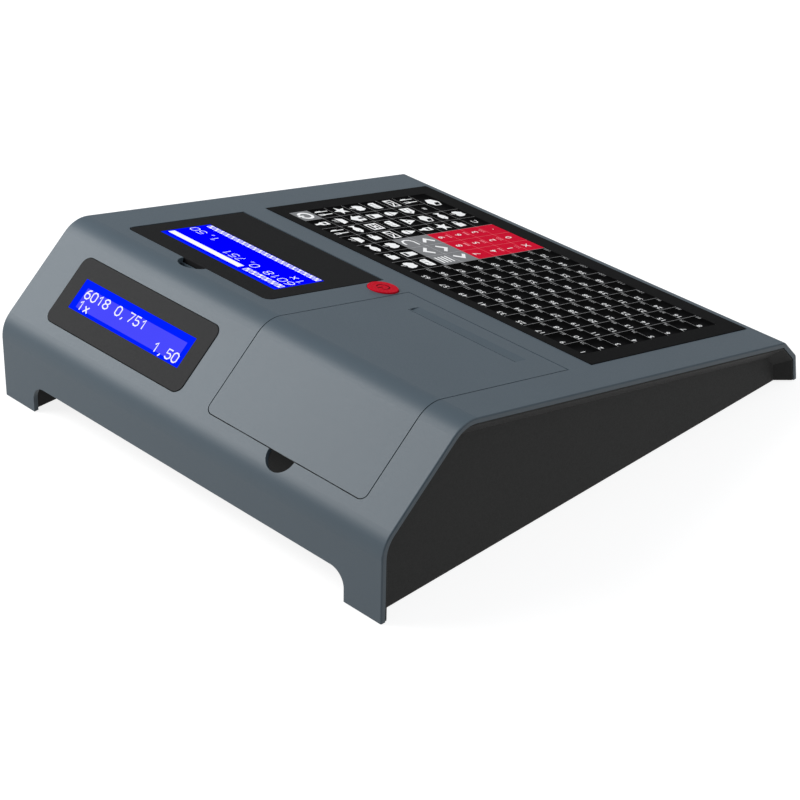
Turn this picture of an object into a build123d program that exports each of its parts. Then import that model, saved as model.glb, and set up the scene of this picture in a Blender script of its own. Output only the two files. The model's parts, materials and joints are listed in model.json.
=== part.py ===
from build123d import *
import math
import os

os.makedirs("parts", exist_ok=True)

# A counter-top ticket register.  Millimetres, +Z up, the operator stands at -Y and the
# customer at +Y.  The origin is the middle of the footprint, on the table.

# ---------------------------------------------------------------- driving dimensions
# housing outline, seen from the side
cover_wall = 3.0
table_gap = 0.6  # the cover ends just above the table
wall_height = 48.5
wall_lean = 2.1  # degrees of draft on the rear wall
slope_angle = 39.8
top_angle = 13.6235
chamfer_run = 11.9
chamfer_rise = 13.5
lip_run = 2.7
bend_radius = 20.0
edge_bend = 4.0
rim_round = 0.9
seat_gap = 0.3  # between the cover and the tub it sits on
foot_width = 28.4
arch_height = 19.3
arch_radius = 10.3
side_margin = 25.9  # from the keyboard frame to the cover's side

# the tub under the cover
tub_bottom = 1.0
tub_floor = 3.0
tub_wall = 2.5
side_recess = 8.0
rim_land = 0.9
tub_side_gap = 0.3
corner_block = 26.5  # from the cover's side to the inner face of each rear corner
cable_bay = 29.5  # from the rear wall of the tub to the rear of the cover
front_bay = 17.5
rear_wall_rise = 1.5  # above the cover's rear wall
pad_radius = 8.0
pad_recess = 1.4
pad_side = 30.5  # from the cover's side to the middle of a rubber pad
pad_rear = 53.5
pad_front = 29.5

# the strip between the tilting display and the printer lid, and the two openings
strip_half = 10.4
bay_side = 26.2  # from the cover's side
bay_gap = 18.9  # between the keyboard frame and the openings
bay_length = 94.2
rear_land = 18.77
flap_gap = 0.6
hinge_gap = 0.9
flap_corner = 5.0
notch_radius = 10.0

# hinges of the display flap and the lid
hinge_depth = 6.5
hinge_set_in = 12.0
hinge_pin_radius = 1.5
hinge_running = 0.05
pin_fit = 0.02
ear_width = 4.0
ear_drop = 10.0
ear_half = 6.5
ear_clear = 0.6
knuckle_width = 9.0
knuckle_drop = 9.6
relief_step = 1.0
relief_run = 2.6

# display flap
flap_wall = 3.0
operator_glass = (102.0, 39.5)
operator_glass_inset = 36.3  # from the flap's rear edge to the middle of the glass
lens_wall = 1.0
lens_skin = 0.5
lens_margin = 1.9
lens_clear = 0.2
lcd_wall = 4.0
board_wall = 1.6
flap_box = (118.0, 58.0)
flap_box_depth = 12.0
flap_box_wall = 2.0
ledge_wall = 2.0
ledge_reach = 4.0
ledge_width = 18.0
post_side = 5.0

# printer lid
lid_wall = 2.5
lid_land = 15.2  # below the lid, up the slope
slot_length = 84.2
slot_inset = 20.9  # from the front of the opening
slot_gap = 1.2
slot_ramp = 8.2
slot_sink = 1.0
groove_gap = 0.6
groove_width = 0.7
groove_depth = 0.8
lid_rib = 2.0
lid_rib_drop = 5.0

# power button
button_inset = 11.5  # from the front of the openings
button_radius = 9.4
button_clear = 0.35
button_proud = 0.9
button_cap = 3.4
button_stem = 3.0
button_travel = 1.2
button_tab = (3.4, 1.2)
tab_reach = 3.0
switch_size = 6.2
switch_drop = 10.0
switch_height = 2.8
switch_floor = 0.4
switch_run = 24.0  # from the button to the rear of its board
plunger_radius = 1.7
plunger_fit = 0.08

# customer display on the slope
bezel_border = (11.3, 12.45)  # beside and above the glass
bezel_corner = 6.0
bezel_side = 28.0  # from the cover's side
bezel_land = (15.8, 16.73)  # on the slope, below and above the bezel
bezel_proud = 0.4
bezel_flange = 3.0
bezel_flange_wall = 1.5
bezel_box_depth = 10.0
bezel_box_inset = 2.0
customer_glass = (98.8, 19.9)
customer_glass_rise = 0.15

# keyboard
key_pitch = 15.5
key_columns = 16
key_rows = 8
key_pad = 15.0
key_lift = 0.4
key_area_edge = (12.6, 14.3, 8.0)  # frame beside, in front of and behind the keys
frame_v0 = 5.0
frame_corner = 1.5
frame_clear = 0.3
frame_proud = 0.3
frame_flange = 2.6
sheet_sink = 0.9
sheet_wall = 0.6
sheet_margin = 2.0
frame_drop = 4.8
tray_wall = 1.2
support_side = 6.0
screw_row_inset = 40.0

# paper and printer
paper_width = 80.0
roll_radius = 40.0
well_clear = 1.0
well_side_clear = 1.5
well_wall = 2.0
well_before_ridge = 14.3
well_front_rise = 3.0  # above the middle of the roll
well_back_rise = 19.0
well_foot = 24.0
well_lid_gap = 0.5
platen_radius = 6.0
platen_drop = 15.4
paper_bend = 1.0  # the paper leaves the slot this far in front of the roller
platen_shaft_radius = 2.0
paper_gap = 0.3
plate_gap = 4.0  # between the paper and each side plate
frame_sheet = 1.5
frame_before = 18.56  # from the platen, as the next five
frame_behind = 23.94
frame_over = 10.06
frame_step = (12.26, 7.94)
frame_bend = 4.0
flange_run = 9.0
bush_radius = 3.5
bush_flange = 5.0
bush_fit = 0.05
bush_collar = 1.0
head_under = 13.94
head_over = 6.06
head_rod_under = 10.94
head_wall = 4.0
head_rod_radius = 1.5
blade_height = 6.0
blade_wall = 1.0
spring_wall = 0.5
spring_width = 12.0
spring_spread = 44.0
gear_module = 1.0
gear_width = 5.0
gear_gap = 1.5
pinion_teeth = 12
idler_teeth = 26
platen_teeth = 22
backlash = 0.28
post_radius = 2.0
motor_radius = 12.5
motor_length = 20.0
motor_chamfer = 0.8
motor_behind = 9.94
motor_below = 37.94
shaft_radius = 1.2
saw_pitch = 4.0

# electronics in the tub
board_size = (124.0, 118.0)
board_side = 91.5  # from the cover's side to the middle of the board
board_lift = 6.0
board_hole_inset = 5.0
screw_bite = 2.0
socket_shares = (-0.363, -0.202, -0.04, 0.153, 0.347)  # places, as shares of the board's width
inlet_size = (11.0, 11.0)
large_socket = (16.0, 13.4)
small_socket = (13.4, 13.0)
socket_length = 17.0
socket_end = 4.0
large_mouth = (11.8, 7.6)
small_mouth = (9.8, 6.8)
mouth_land = 1.6
latch_height = 3.0
inlet_mouth = (8.6, 6.6)
blade_inset = (2.0, 6.0, 1.0)  # above and below, behind the mouth, thickness
ribbon_width = 30.0
ribbon_wall = 0.6
ribbon_beside = 11.0  # from the middle of the board
ribbon_socket_wall = 1.5
ribbon_socket_depth = 6.0
key_cable_bend = (9.0, 12.0)  # free of the sockets at its two ends
customer_cable_bend = (6.0, 22.0)
capacitor_inset = 16.0
battery_inset = 20.0
socket_height = 4.0
cable_gap = 0.05
capacitor_radius = 5.0
capacitor_height = 14.0
capacitor_pitch = 14.0
battery_radius = 10.0
battery_height = 3.2
screw_radius = 1.5
boss_wall = 2.0
screw_head = 2.8
screw_head_height = 1.8
screw_fit = 0.05
column_radius = 4.0
column_side = 16.9  # from the cover's side to the middle of a screw column
column_rear = 45.5
column_front = 27.5
column_bore = 10.0

# ---------------------------------------------------------------- derived places
below = 60.0  # how far the outline runs on below the table before it is cut level
far = 400.0  # longer than anything here, for cuts that go right through
sin_top = math.sin(math.radians(top_angle))
cos_top = math.cos(math.radians(top_angle))
sin_slope = math.sin(math.radians(slope_angle))
cos_slope = math.cos(math.radians(slope_angle))

# across: the keyboard sets the width
keys_size = (key_columns * key_pitch, key_rows * key_pitch)
frame_half_x = keys_size[0] / 2 + key_area_edge[0]
bezel_size = [glass + 2 * border for glass, border in zip(customer_glass, bezel_border)]
half_width = frame_half_x + side_margin
bay_outer = half_width - bay_side
bay_x = (strip_half + bay_outer) / 2
bay_width = bay_outer - strip_half
bezel_x = half_width - bezel_side - bezel_size[0] / 2
column_x = half_width - column_side
pad_x = half_width - pad_side
board_x = half_width - board_side
ribbon_x = board_x - ribbon_beside

# up the top face: keyboard, openings and the land before the ridge
key_area_v = frame_v0 + key_area_edge[1]
frame_v1 = key_area_v + keys_size[1] + key_area_edge[2]
bay_front = frame_v1 + bay_gap
display_rear = bay_front + bay_length
operator_glass_v = display_rear - operator_glass_inset
slot_v = bay_front + slot_inset
button_v = bay_front + button_inset
hinge_v = bay_front + hinge_gap + hinge_set_in
top_length = display_rear + rear_land

# up the slope: the customer's bezel and its lands
bezel_s = bezel_land[0] + bezel_size[1] / 2
customer_glass_s = bezel_s + customer_glass_rise
slope_length = sum(bezel_land) + bezel_size[1]

# the side outline
slope_run = slope_length * cos_slope
ridge_height = wall_height + slope_length * sin_slope
front_height = ridge_height - top_length * sin_top
lip_height = front_height - chamfer_rise
wall_run = wall_height * math.tan(math.radians(wall_lean))
half_depth = (wall_run + slope_run + top_length * cos_top + chamfer_run + lip_run) / 2
wall_top = (half_depth - wall_run, wall_height)
ridge = (wall_top[0] - slope_run, ridge_height)
lip_top = (lip_run - half_depth, lip_height)
chamfer_top = (lip_top[0] + chamfer_run, front_height)

# the tub
floor_top = tub_bottom + tub_floor
rear_wall_y = half_depth - cable_bay
rear_wall_top = wall_height + rear_wall_rise
front_wall_y = front_bay - half_depth
pad_rows = (half_depth - pad_rear, pad_front - half_depth)
column_rows = (half_depth - column_rear, column_front - half_depth)
ear_centres = (strip_half - ear_clear - ear_width / 2, bay_outer + ear_clear + ear_width / 2)

top_plane = Plane(origin=(0, *chamfer_top), x_dir=(1, 0, 0), z_dir=(0, -sin_top, cos_top))
slope_plane = Plane(origin=(0, *wall_top), x_dir=(-1, 0, 0), z_dir=(0, sin_slope, cos_slope))
up_slope = Axis(slope_plane.origin, (0, -cos_slope, sin_slope))
off_slope = Axis(slope_plane.origin, slope_plane.z_dir)


def on_top(v, n=0.0):
    """(y, z) of the point v up the top face from its front edge, n above it."""
    y = chamfer_top[0] + v * cos_top - n * sin_top
    return (y, chamfer_top[1] + v * sin_top + n * cos_top)


def on_slope(s, n=0.0):
    """(y, z) of the point s up the slope from its lower edge, n above it."""
    y = wall_top[0] - s * cos_slope + n * sin_slope
    return (y, wall_top[1] + s * sin_slope + n * cos_slope)


def ridge_at(n):
    """(y, z) of the ridge corner of the outline moved out by n."""
    half_turn = math.radians(top_angle + slope_angle) / 2
    lean = math.radians(slope_angle) - half_turn
    reach = n / math.cos(half_turn)
    return (ridge[0] + reach * math.sin(lean), ridge[1] + reach * math.cos(lean))


def outline(inset, floor, bend=bend_radius, small_bend=edge_bend, plane=Plane.YZ):
    """Face inside the housing's side outline, set in by inset and cut level at floor."""
    foot = (half_depth + below * math.tan(math.radians(wall_lean)), -below)
    lip = (-half_depth - below * lip_run / lip_height, -below)
    corners = [foot, wall_top, ridge, chamfer_top, lip_top, lip]
    with BuildSketch(plane) as profile:
        with BuildLine():
            if bend > 0:
                FilletPolyline(*corners, radius=[bend, bend, small_bend, small_bend])
            else:
                Polyline(*corners)
            Line(lip, foot)
        make_face()
        if inset > 0:
            offset(amount=-inset, kind=Kind.INTERSECTION)
        with Locations((0, floor - far / 2)):
            Rectangle(2 * far, far, mode=Mode.SUBTRACT)
    return profile.sketch


def hatch(clear, front):
    """Block that spans the lid's place over the ridge, grown by clear at every edge."""
    out = 6.0
    into = -2 * cover_wall
    low = lid_land - clear
    edge = [on_top(front, out), on_top(front, into), ridge_at(into)]
    edge += [on_slope(low, into), on_slope(low, out), ridge_at(out)]
    with BuildPart() as block:
        with BuildSketch(Plane.YZ.offset(-bay_x)):
            with BuildLine():
                Polyline(*edge, close=True)
            make_face()
        extrude(amount=bay_width / 2 + clear, both=True)
        lowest_face = block.faces().sort_by(up_slope)[0]
        corners = lowest_face.edges().filter_by(off_slope)
        fillet(corners, flap_corner + clear)
    return block.part


def pin_pair(side, radius, inner, outer):
    """Two hinge pins on the flap axis; inner and outer are distances past each bay edge."""
    spans = [(strip_half - outer, strip_half + inner), (bay_outer - inner, bay_outer + outer)]
    with BuildPart() as pins:
        for low, high in spans:
            with BuildSketch(Plane.YZ.offset(side * low)):
                with Locations(on_top(hinge_v, -hinge_depth)):
                    Circle(radius)
            extrude(amount=side * (high - low))
    return pins.part


def knuckles(side, wall):
    """Two lugs under a flap, bored for the hinge pins."""
    reach = knuckle_width / 2
    centres = (strip_half + flap_gap + reach, bay_outer - flap_gap - reach)
    with BuildPart() as lugs:
        with BuildSketch(top_plane.offset(-knuckle_drop)):
            for centre in centres:
                with Locations((side * centre, hinge_v)):
                    Rectangle(knuckle_width, 2 * (knuckle_drop - hinge_depth) + 4)
        extrude(amount=knuckle_drop - wall + 0.2)
        add(pin_pair(side, hinge_pin_radius + hinge_running, far, far), mode=Mode.SUBTRACT)
    return lugs.part


def ledge(plane, edge, inward, wall, centre, spread):
    """Two shelves under the cover that stop a flap; inward is the sign towards the flap."""
    rest = wall + seat_gap
    with BuildPart() as shelves:
        with BuildSketch(plane.offset(-rest - ledge_wall)):
            with Locations((centre, edge)):
                with GridLocations(spread, 1, 2, 1):
                    Rectangle(ledge_width, 2 * ledge_reach)
        extrude(amount=ledge_wall)
        with BuildSketch(plane.offset(-rest)):
            with Locations((centre, edge - inward * (ledge_reach + flap_gap) / 2)):
                with GridLocations(spread, 1, 2, 1):
                    Rectangle(ledge_width, ledge_reach - flap_gap)
        extrude(amount=rest - cover_wall + 0.5)
    return shelves.part


def columns(radius, top):
    """Four round posts over the cover screws, from the tub's floor up."""
    with BuildPart() as posts:
        with BuildSketch(Plane.XY.offset(floor_top)):
            for row_y in column_rows:
                with Locations((0, row_y)):
                    with GridLocations(2 * column_x, 1, 2, 1):
                        Circle(radius)
        extrude(amount=top)
    return posts.part


def column_posts():
    """The cover's screw columns, cut off inside its wall."""
    with BuildPart() as posts:
        add(columns(column_radius, ridge_height))
        extrude(outline(cover_wall / 2, 0), amount=half_width, both=True, mode=Mode.INTERSECT)
    return posts.part


# ================================================================ top cover
arch_half = half_width - foot_width
frame_v = (frame_v0 + frame_v1) / 2
frame_length = frame_v1 - frame_v0
hole_radius = button_radius + button_clear
ledge_spread = bay_width - 2 * ledge_width - 2 * strip_half
ear_root_v = button_v + hole_radius + 1
switch_rear_v = button_v + switch_run
with BuildPart() as top_cover:
    extrude(outline(0, table_gap), amount=half_width, both=True)
    rims = top_cover.faces().filter_by(Axis.X).edges()
    fillet(rims.filter_by(lambda edge: edge.center().Z > table_gap + 0.1), rim_round)
    extrude(outline(cover_wall, -below / 2), amount=half_width, both=True, mode=Mode.SUBTRACT)
    # arch in the rear wall, between the two feet
    with BuildSketch(Plane.XZ.offset(-far)) as arch:
        with Locations((0, (arch_height - below) / 2)):
            Rectangle(2 * arch_half, arch_height + below)
        fillet(arch.vertices().group_by(Axis.Y)[-1], arch_radius)
    extrude(amount=far - half_depth + 20, mode=Mode.SUBTRACT)
    # openings in the top face: display flap with its finger notch, button, keyboard
    with BuildSketch(top_plane.offset(-2 * cover_wall)):
        with BuildSketch() as flap_hole:
            with Locations((bay_x, (bay_front + display_rear) / 2)):
                Rectangle(bay_width, display_rear - bay_front)
            fillet(flap_hole.vertices().group_by(Axis.Y)[-1], flap_corner)
        with Locations((bay_x, display_rear)):
            Circle(notch_radius)
        with Locations((0, button_v)):
            Circle(hole_radius)
        with Locations((0, frame_v)):
            Rectangle(2 * (frame_half_x + frame_clear), frame_length + 2 * frame_clear)
    extrude(amount=4 * cover_wall, mode=Mode.SUBTRACT)
    # the lid's opening runs over the ridge and down the slope
    add(hatch(0, bay_front), mode=Mode.SUBTRACT)
    with BuildSketch(slope_plane.offset(-2 * cover_wall)):
        with Locations((bay_x, lid_land)):
            Circle(notch_radius)
        with Locations((-bezel_x, bezel_s)):
            RectangleRounded(bezel_size[0] + 2 * frame_clear, bezel_size[1] + 2 * frame_clear, bezel_corner)
    extrude(amount=4 * cover_wall, mode=Mode.SUBTRACT)
    # relief under the front edge of both flaps, where their front edges swing down
    with BuildSketch(top_plane.offset(-relief_step)):
        with Locations((0, bay_front - relief_run / 2)):
            with GridLocations(2 * bay_x, 1, 2, 1):
                Rectangle(bay_width, relief_run)
    extrude(amount=-2 * cover_wall, mode=Mode.SUBTRACT)
    # hinge ears; the inner pair runs back under the button and carries its switch board
    with BuildSketch(top_plane.offset(-ear_drop)):
        with Locations((0, (hinge_v - ear_half + switch_rear_v) / 2)):
            with GridLocations(2 * ear_centres[0], 1, 2, 1):
                Rectangle(ear_width, switch_rear_v - hinge_v + ear_half)
    extrude(amount=ear_drop - button_cap - button_travel)
    with BuildSketch(top_plane.offset(-ear_drop)):
        with Locations((0, (ear_root_v + switch_rear_v) / 2)):
            with GridLocations(2 * ear_centres[0], 1, 2, 1):
                Rectangle(ear_width, switch_rear_v - ear_root_v)
        with Locations((0, hinge_v)):
            with GridLocations(2 * ear_centres[1], 1, 2, 1):
                Rectangle(ear_width, 2 * ear_half)
    extrude(amount=ear_drop - cover_wall / 2)
    for side in (1, -1):
        add(pin_pair(side, hinge_pin_radius + pin_fit, 1, ear_width + ear_clear + 1), mode=Mode.SUBTRACT)
    # shelves that the two flaps close on
    add(ledge(top_plane, display_rear, -1, flap_wall, bay_x, ledge_spread))
    add(ledge(slope_plane, lid_land, 1, lid_wall, bay_x, ledge_spread))
    # four screw columns
    add(column_posts())
    add(columns(screw_radius + screw_fit, column_bore), mode=Mode.SUBTRACT)
top_cover.part.label = "top_cover"
export_step(top_cover.part, "parts/top_cover.step")

# ================================================================ base tub
inner_x = half_width - tub_side_gap - side_recess - tub_wall
tub_inset = cover_wall + seat_gap
block_x = half_width - corner_block
wall_front_y = rear_wall_y - tub_wall
board_top = floor_top + board_lift + board_wall
board_y = wall_front_y - seat_gap - board_size[1] / 2
board_holes = (board_size[0] - 2 * board_hole_inset, board_size[1] - 2 * board_hole_inset)
# sockets on the main board: middle x, width and height
socket_x = [board_x + share * board_size[0] for share in socket_shares]
inlet_body = (socket_x[0], *inlet_size)
serial_bodies = [(socket_x[1], *large_socket), (socket_x[2], *large_socket)]
drawer_body = (socket_x[3], *small_socket)
network_body = (socket_x[4], *large_socket)
printer_x = -bay_x
plate_inner = paper_width / 2 + plate_gap
plate_outer = plate_inner + frame_sheet
slot_point = on_top(slot_v, -slot_sink)
platen_at = (slot_point[0] + platen_radius - paper_bend, slot_point[1] - platen_drop)
frame_front_y = platen_at[0] - frame_before
frame_rear_y = platen_at[0] + frame_behind
frame_y = (frame_front_y + frame_rear_y) / 2
frame_screws = (2 * plate_outer + flange_run, frame_rear_y - frame_front_y - flange_run)
with BuildPart() as base_tub:
    extrude(outline(tub_inset, tub_bottom), amount=half_width - tub_side_gap, both=True)
    # long bevelled recess down each side, open at the bottom
    for side in (1, -1):
        rim_plane = Plane.YZ.offset(side * (half_width - tub_side_gap))
        mouth = outline(tub_inset + rim_land, -side_recess - 10, 0, 0, rim_plane)
        extrude(mouth, amount=-side * side_recess, taper=45, mode=Mode.SUBTRACT)
    # inside: floor, side walls, front wall and rear wall, open at the top
    with BuildSketch(Plane.YZ) as inside:
        add(outline(tub_inset + tub_wall, floor_top, plane=Plane.XY))
        with Locations(((front_wall_y + wall_front_y) / 2, floor_top + far / 2)):
            Rectangle(wall_front_y - front_wall_y, far)
        with Locations((wall_front_y + far / 2, 0)):
            Rectangle(far, far, mode=Mode.SUBTRACT)
    extrude(amount=inner_x, both=True, mode=Mode.SUBTRACT)
    # bay at the rear, between the corner blocks, where the cables leave
    with BuildSketch(Plane.XY.offset(-below)):
        with Locations((0, rear_wall_y + far / 2)):
            Rectangle(2 * block_x, far)
    extrude(amount=far, mode=Mode.SUBTRACT)
    with BuildSketch(Plane.XY.offset(rear_wall_top)):
        with Locations((0, wall_front_y + far / 2 - 1)):
            Rectangle(2 * (block_x + tub_wall), far)
    extrude(amount=far, mode=Mode.SUBTRACT)
    # corner blocks are hollow from above
    pocket_y = (rear_wall_y + half_depth - tub_inset - 2 * tub_wall) / 2
    with BuildSketch(Plane.XY.offset(floor_top)):
        with Locations((0, pocket_y)):
            with GridLocations(block_x + tub_wall + inner_x, 1, 2, 1):
                Rectangle(inner_x - block_x - tub_wall, 2 * (pocket_y - rear_wall_y))
    extrude(amount=far, mode=Mode.SUBTRACT)
    # windows for the sockets
    with BuildSketch(Plane.XZ.offset(-rear_wall_y - 1)):
        for x, width, height in [inlet_body, *serial_bodies, drawer_body, network_body]:
            with Locations((x, board_top + height / 2)):
                Rectangle(width + 2 * frame_clear, height + 2 * frame_clear)
    extrude(amount=tub_wall + 2, mode=Mode.SUBTRACT)
    # bosses that carry the main board
    with BuildSketch(Plane.XY.offset(floor_top)):
        with Locations((board_x, board_y)):
            with GridLocations(*board_holes, 2, 2):
                Circle(screw_radius + boss_wall)
    extrude(amount=board_lift)
    with BuildSketch(Plane.XY.offset(floor_top - screw_bite)):
        with Locations((board_x, board_y)):
            with GridLocations(*board_holes, 2, 2):
                Circle(screw_radius + screw_fit)
        with Locations((printer_x, frame_y)):
            with GridLocations(*frame_screws, 2, 2):
                Circle(screw_radius + screw_fit)
    extrude(amount=board_lift + screw_bite, mode=Mode.SUBTRACT)
    # pockets for the rubber pads and sunk holes for the cover screws
    with BuildSketch(Plane.XY.offset(tub_bottom)):
        for row_y in pad_rows:
            with Locations((0, row_y)):
                with GridLocations(2 * pad_x, 1, 2, 1):
                    Circle(pad_radius + frame_clear)
    extrude(amount=pad_recess, mode=Mode.SUBTRACT)
    with BuildSketch(Plane.XY.offset(tub_bottom)):
        for row_y in column_rows:
            with Locations((0, row_y)):
                with GridLocations(2 * column_x, 1, 2, 1):
                    Circle(screw_head + frame_clear)
    extrude(amount=screw_head_height + 0.1, mode=Mode.SUBTRACT)
    with BuildSketch(Plane.XY.offset(tub_bottom)):
        for row_y in column_rows:
            with Locations((0, row_y)):
                with GridLocations(2 * column_x, 1, 2, 1):
                    Circle(screw_radius + screw_fit)
    extrude(amount=tub_floor, mode=Mode.SUBTRACT)
base_tub.part.label = "base_tub"
export_step(base_tub.part, "parts/base_tub.step")

with BuildPart() as rubber_feet:
    with BuildSketch():
        for row_y in pad_rows:
            with Locations((0, row_y)):
                with GridLocations(2 * pad_x, 1, 2, 1):
                    Circle(pad_radius)
    extrude(amount=tub_bottom + pad_recess)
    chamfer(rubber_feet.edges().group_by(Axis.Z)[0], rim_round / 2)
rubber_feet.part.label = "rubber_feet"
export_step(rubber_feet.part, "parts/rubber_feet.step")

# ================================================================ operator's display flap
flap_front = bay_front + hinge_gap
flap_rear = display_rear - flap_gap
box_v = operator_glass_v
with BuildPart() as operator_panel:
    with BuildSketch(top_plane.offset(-flap_wall)) as flap_plate:
        with Locations((bay_x, (flap_front + flap_rear) / 2)):
            Rectangle(bay_width - 2 * flap_gap, flap_rear - flap_front)
        fillet(flap_plate.vertices().group_by(Axis.Y)[-1], flap_corner - flap_gap)
    extrude(amount=flap_wall)
    fillet(operator_panel.faces().filter_by(top_plane).sort_by(Axis.Z)[-1].edges(), rim_round / 2)
    # box behind the plate for the display
    with BuildSketch(top_plane.offset(-flap_wall)):
        with Locations((bay_x, box_v)):
            Rectangle(*flap_box)
            Rectangle(flap_box[0] - 2 * flap_box_wall, flap_box[1] - 2 * flap_box_wall, mode=Mode.SUBTRACT)
    extrude(amount=-flap_box_depth)
    # window, with a pocket behind it for the lens
    with BuildSketch(top_plane):
        with Locations((bay_x, operator_glass_v)):
            Rectangle(*operator_glass)
    extrude(amount=-flap_wall, mode=Mode.SUBTRACT)
    with BuildSketch(top_plane.offset(-lens_skin)):
        with Locations((bay_x, operator_glass_v)):
            Rectangle(operator_glass[0] + 2 * lens_margin, operator_glass[1] + 2 * lens_margin)
    extrude(amount=-flap_wall, mode=Mode.SUBTRACT)
    add(knuckles(1, flap_wall))
operator_panel.part.label = "operator_panel"
export_step(operator_panel.part, "parts/operator_panel.step")


def display_stack(plane, centre, glass):
    """Lens, display module and its board, one behind the other, as three solids."""
    lens_size = [side + 2 * (lens_margin - lens_clear) for side in glass]
    lcd_size = [side + 4 * lens_margin for side in glass]
    with BuildPart() as lens:
        with BuildSketch(plane.offset(-lens_skin - lens_wall)):
            with Locations(centre):
                Rectangle(*lens_size)
        extrude(amount=lens_wall)
    # the module's lit face stands up into the window, close behind the lens
    with BuildPart() as lcd:
        with BuildSketch(plane.offset(-flap_wall - lcd_wall)):
            with Locations(centre):
                Rectangle(*lcd_size)
        extrude(amount=lcd_wall)
        with BuildSketch(plane.offset(-flap_wall)):
            with Locations(centre):
                Rectangle(*lens_size)
        extrude(amount=flap_wall - lens_skin - lens_wall - lens_clear)
    with BuildPart() as board:
        with BuildSketch(plane.offset(-flap_wall - lcd_wall - board_wall)):
            with Locations(centre):
                Rectangle(lcd_size[0] + flap_box_wall, lcd_size[1] + flap_box_wall)
        extrude(amount=board_wall)
    return lens, lcd, board


operator_stack = display_stack(top_plane, (bay_x, operator_glass_v), operator_glass)
operator_lens, operator_lcd, operator_board = operator_stack
operator_lens.part.label = "operator_lens"
export_step(operator_lens.part, "parts/operator_lens.step")
operator_lcd.part.label = "operator_lcd"
export_step(operator_lcd.part, "parts/operator_lcd.step")
operator_board.part.label = "operator_board"
export_step(operator_board.part, "parts/operator_board.step")

with BuildPart() as operator_back:
    with BuildSketch(top_plane.offset(-flap_wall - flap_box_depth)):
        with Locations((bay_x, box_v)):
            Rectangle(*flap_box)
    extrude(amount=-flap_box_wall)
    # posts that hold the board against the display
    with BuildSketch(top_plane.offset(-flap_wall - flap_box_depth)):
        with Locations((bay_x, box_v)):
            with GridLocations(operator_glass[0] - post_side, operator_glass[1] - post_side, 2, 2):
                Rectangle(post_side, post_side)
    extrude(amount=flap_box_depth - lcd_wall - board_wall)
operator_back.part.label = "operator_back"
export_step(operator_back.part, "parts/operator_back.step")

with BuildPart() as operator_hinge_pins:
    add(pin_pair(1, hinge_pin_radius, knuckle_width - 1, ear_width + ear_clear))
operator_hinge_pins.part.label = "operator_hinge_pins"
export_step(operator_hinge_pins.part, "parts/operator_hinge_pins.step")

# ================================================================ printer lid
def rib_zone():
    """Two upright slices of the lid's place, one at each side, for its ribs."""
    deep = -3 * cover_wall
    top = hinge_v + ear_half + lid_rib
    foot = lid_land + 2 * ledge_reach
    edge = [on_top(top), on_top(top, deep), ridge_at(deep), on_slope(foot, deep), on_slope(foot)]
    with BuildPart() as zone:
        for rib_x in (-strip_half - flap_gap - lid_rib, flap_gap - bay_outer):
            with BuildSketch(Plane.YZ.offset(rib_x)):
                with BuildLine():
                    Polyline(*edge, ridge_at(0), close=True)
                make_face()
            extrude(amount=lid_rib)
    return zone.part


def lid_ribs():
    """Stiffening rib down each side of the lid, following its bend."""
    with BuildPart() as ribs:
        extrude(outline(lid_wall - 0.2, table_gap), amount=half_width - 1, both=True)
        extrude(outline(lid_rib_drop, -below / 2), amount=half_width, both=True, mode=Mode.SUBTRACT)
        add(rib_zone(), mode=Mode.INTERSECT)
    return ribs.part


with BuildPart() as printer_lid:
    extrude(outline(0, table_gap), amount=half_width - 1, both=True)
    extrude(outline(lid_wall, -below / 2), amount=half_width, both=True, mode=Mode.SUBTRACT)
    add(hatch(-flap_gap, flap_front), mode=Mode.INTERSECT)
    add(lid_ribs())
    # the paper slot, with a ramp down to it from the front
    with BuildSketch(Plane.YZ.offset(printer_x)):
        with BuildLine():
            Polyline(on_top(slot_v), on_top(slot_v, -slot_sink), on_top(slot_v - slot_ramp), close=True)
        make_face()
    extrude(amount=slot_length / 2, both=True, mode=Mode.SUBTRACT)
    with BuildSketch(top_plane):
        with Locations((printer_x, slot_v - slot_gap / 2)):
            Rectangle(slot_length, slot_gap)
    extrude(amount=-cover_wall, mode=Mode.SUBTRACT)
    # groove behind the slot's edge, where the paper is torn off
    with BuildSketch(top_plane):
        with Locations((printer_x, slot_v + groove_gap + groove_width / 2)):
            Rectangle(slot_length, groove_width)
    extrude(amount=-groove_depth, mode=Mode.SUBTRACT)
    add(knuckles(-1, lid_wall))
printer_lid.part.label = "printer_lid"
export_step(printer_lid.part, "parts/printer_lid.step")

with BuildPart() as lid_hinge_pins:
    add(pin_pair(-1, hinge_pin_radius, knuckle_width - 1, ear_width + ear_clear))
lid_hinge_pins.part.label = "lid_hinge_pins"
export_step(lid_hinge_pins.part, "parts/lid_hinge_pins.step")

# ================================================================ power button and switch
stem_drop = button_cap - button_proud + button_stem
with BuildPart() as power_button:
    with BuildSketch(top_plane.offset(button_proud - button_cap)):
        with Locations((0, button_v)):
            Circle(button_radius)
    extrude(amount=button_cap)
    chamfer(power_button.faces().filter_by(top_plane).sort_by(Axis.Z)[-1].edges(), rim_round / 2)
    with BuildSketch(top_plane.offset(-stem_drop)):
        with Locations((0, button_v)):
            Circle(button_stem)
    extrude(amount=stem_drop - cover_wall / 2)
    # two tabs under the cover keep it in
    with BuildSketch(top_plane.offset(-cover_wall - seat_gap - button_tab[1])):
        with Locations((0, button_v)):
            Rectangle(button_tab[0], 2 * (hole_radius + tab_reach))
    extrude(amount=button_tab[1])
power_button.part.label = "power_button"
export_step(power_button.part, "parts/power_button.step")

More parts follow.
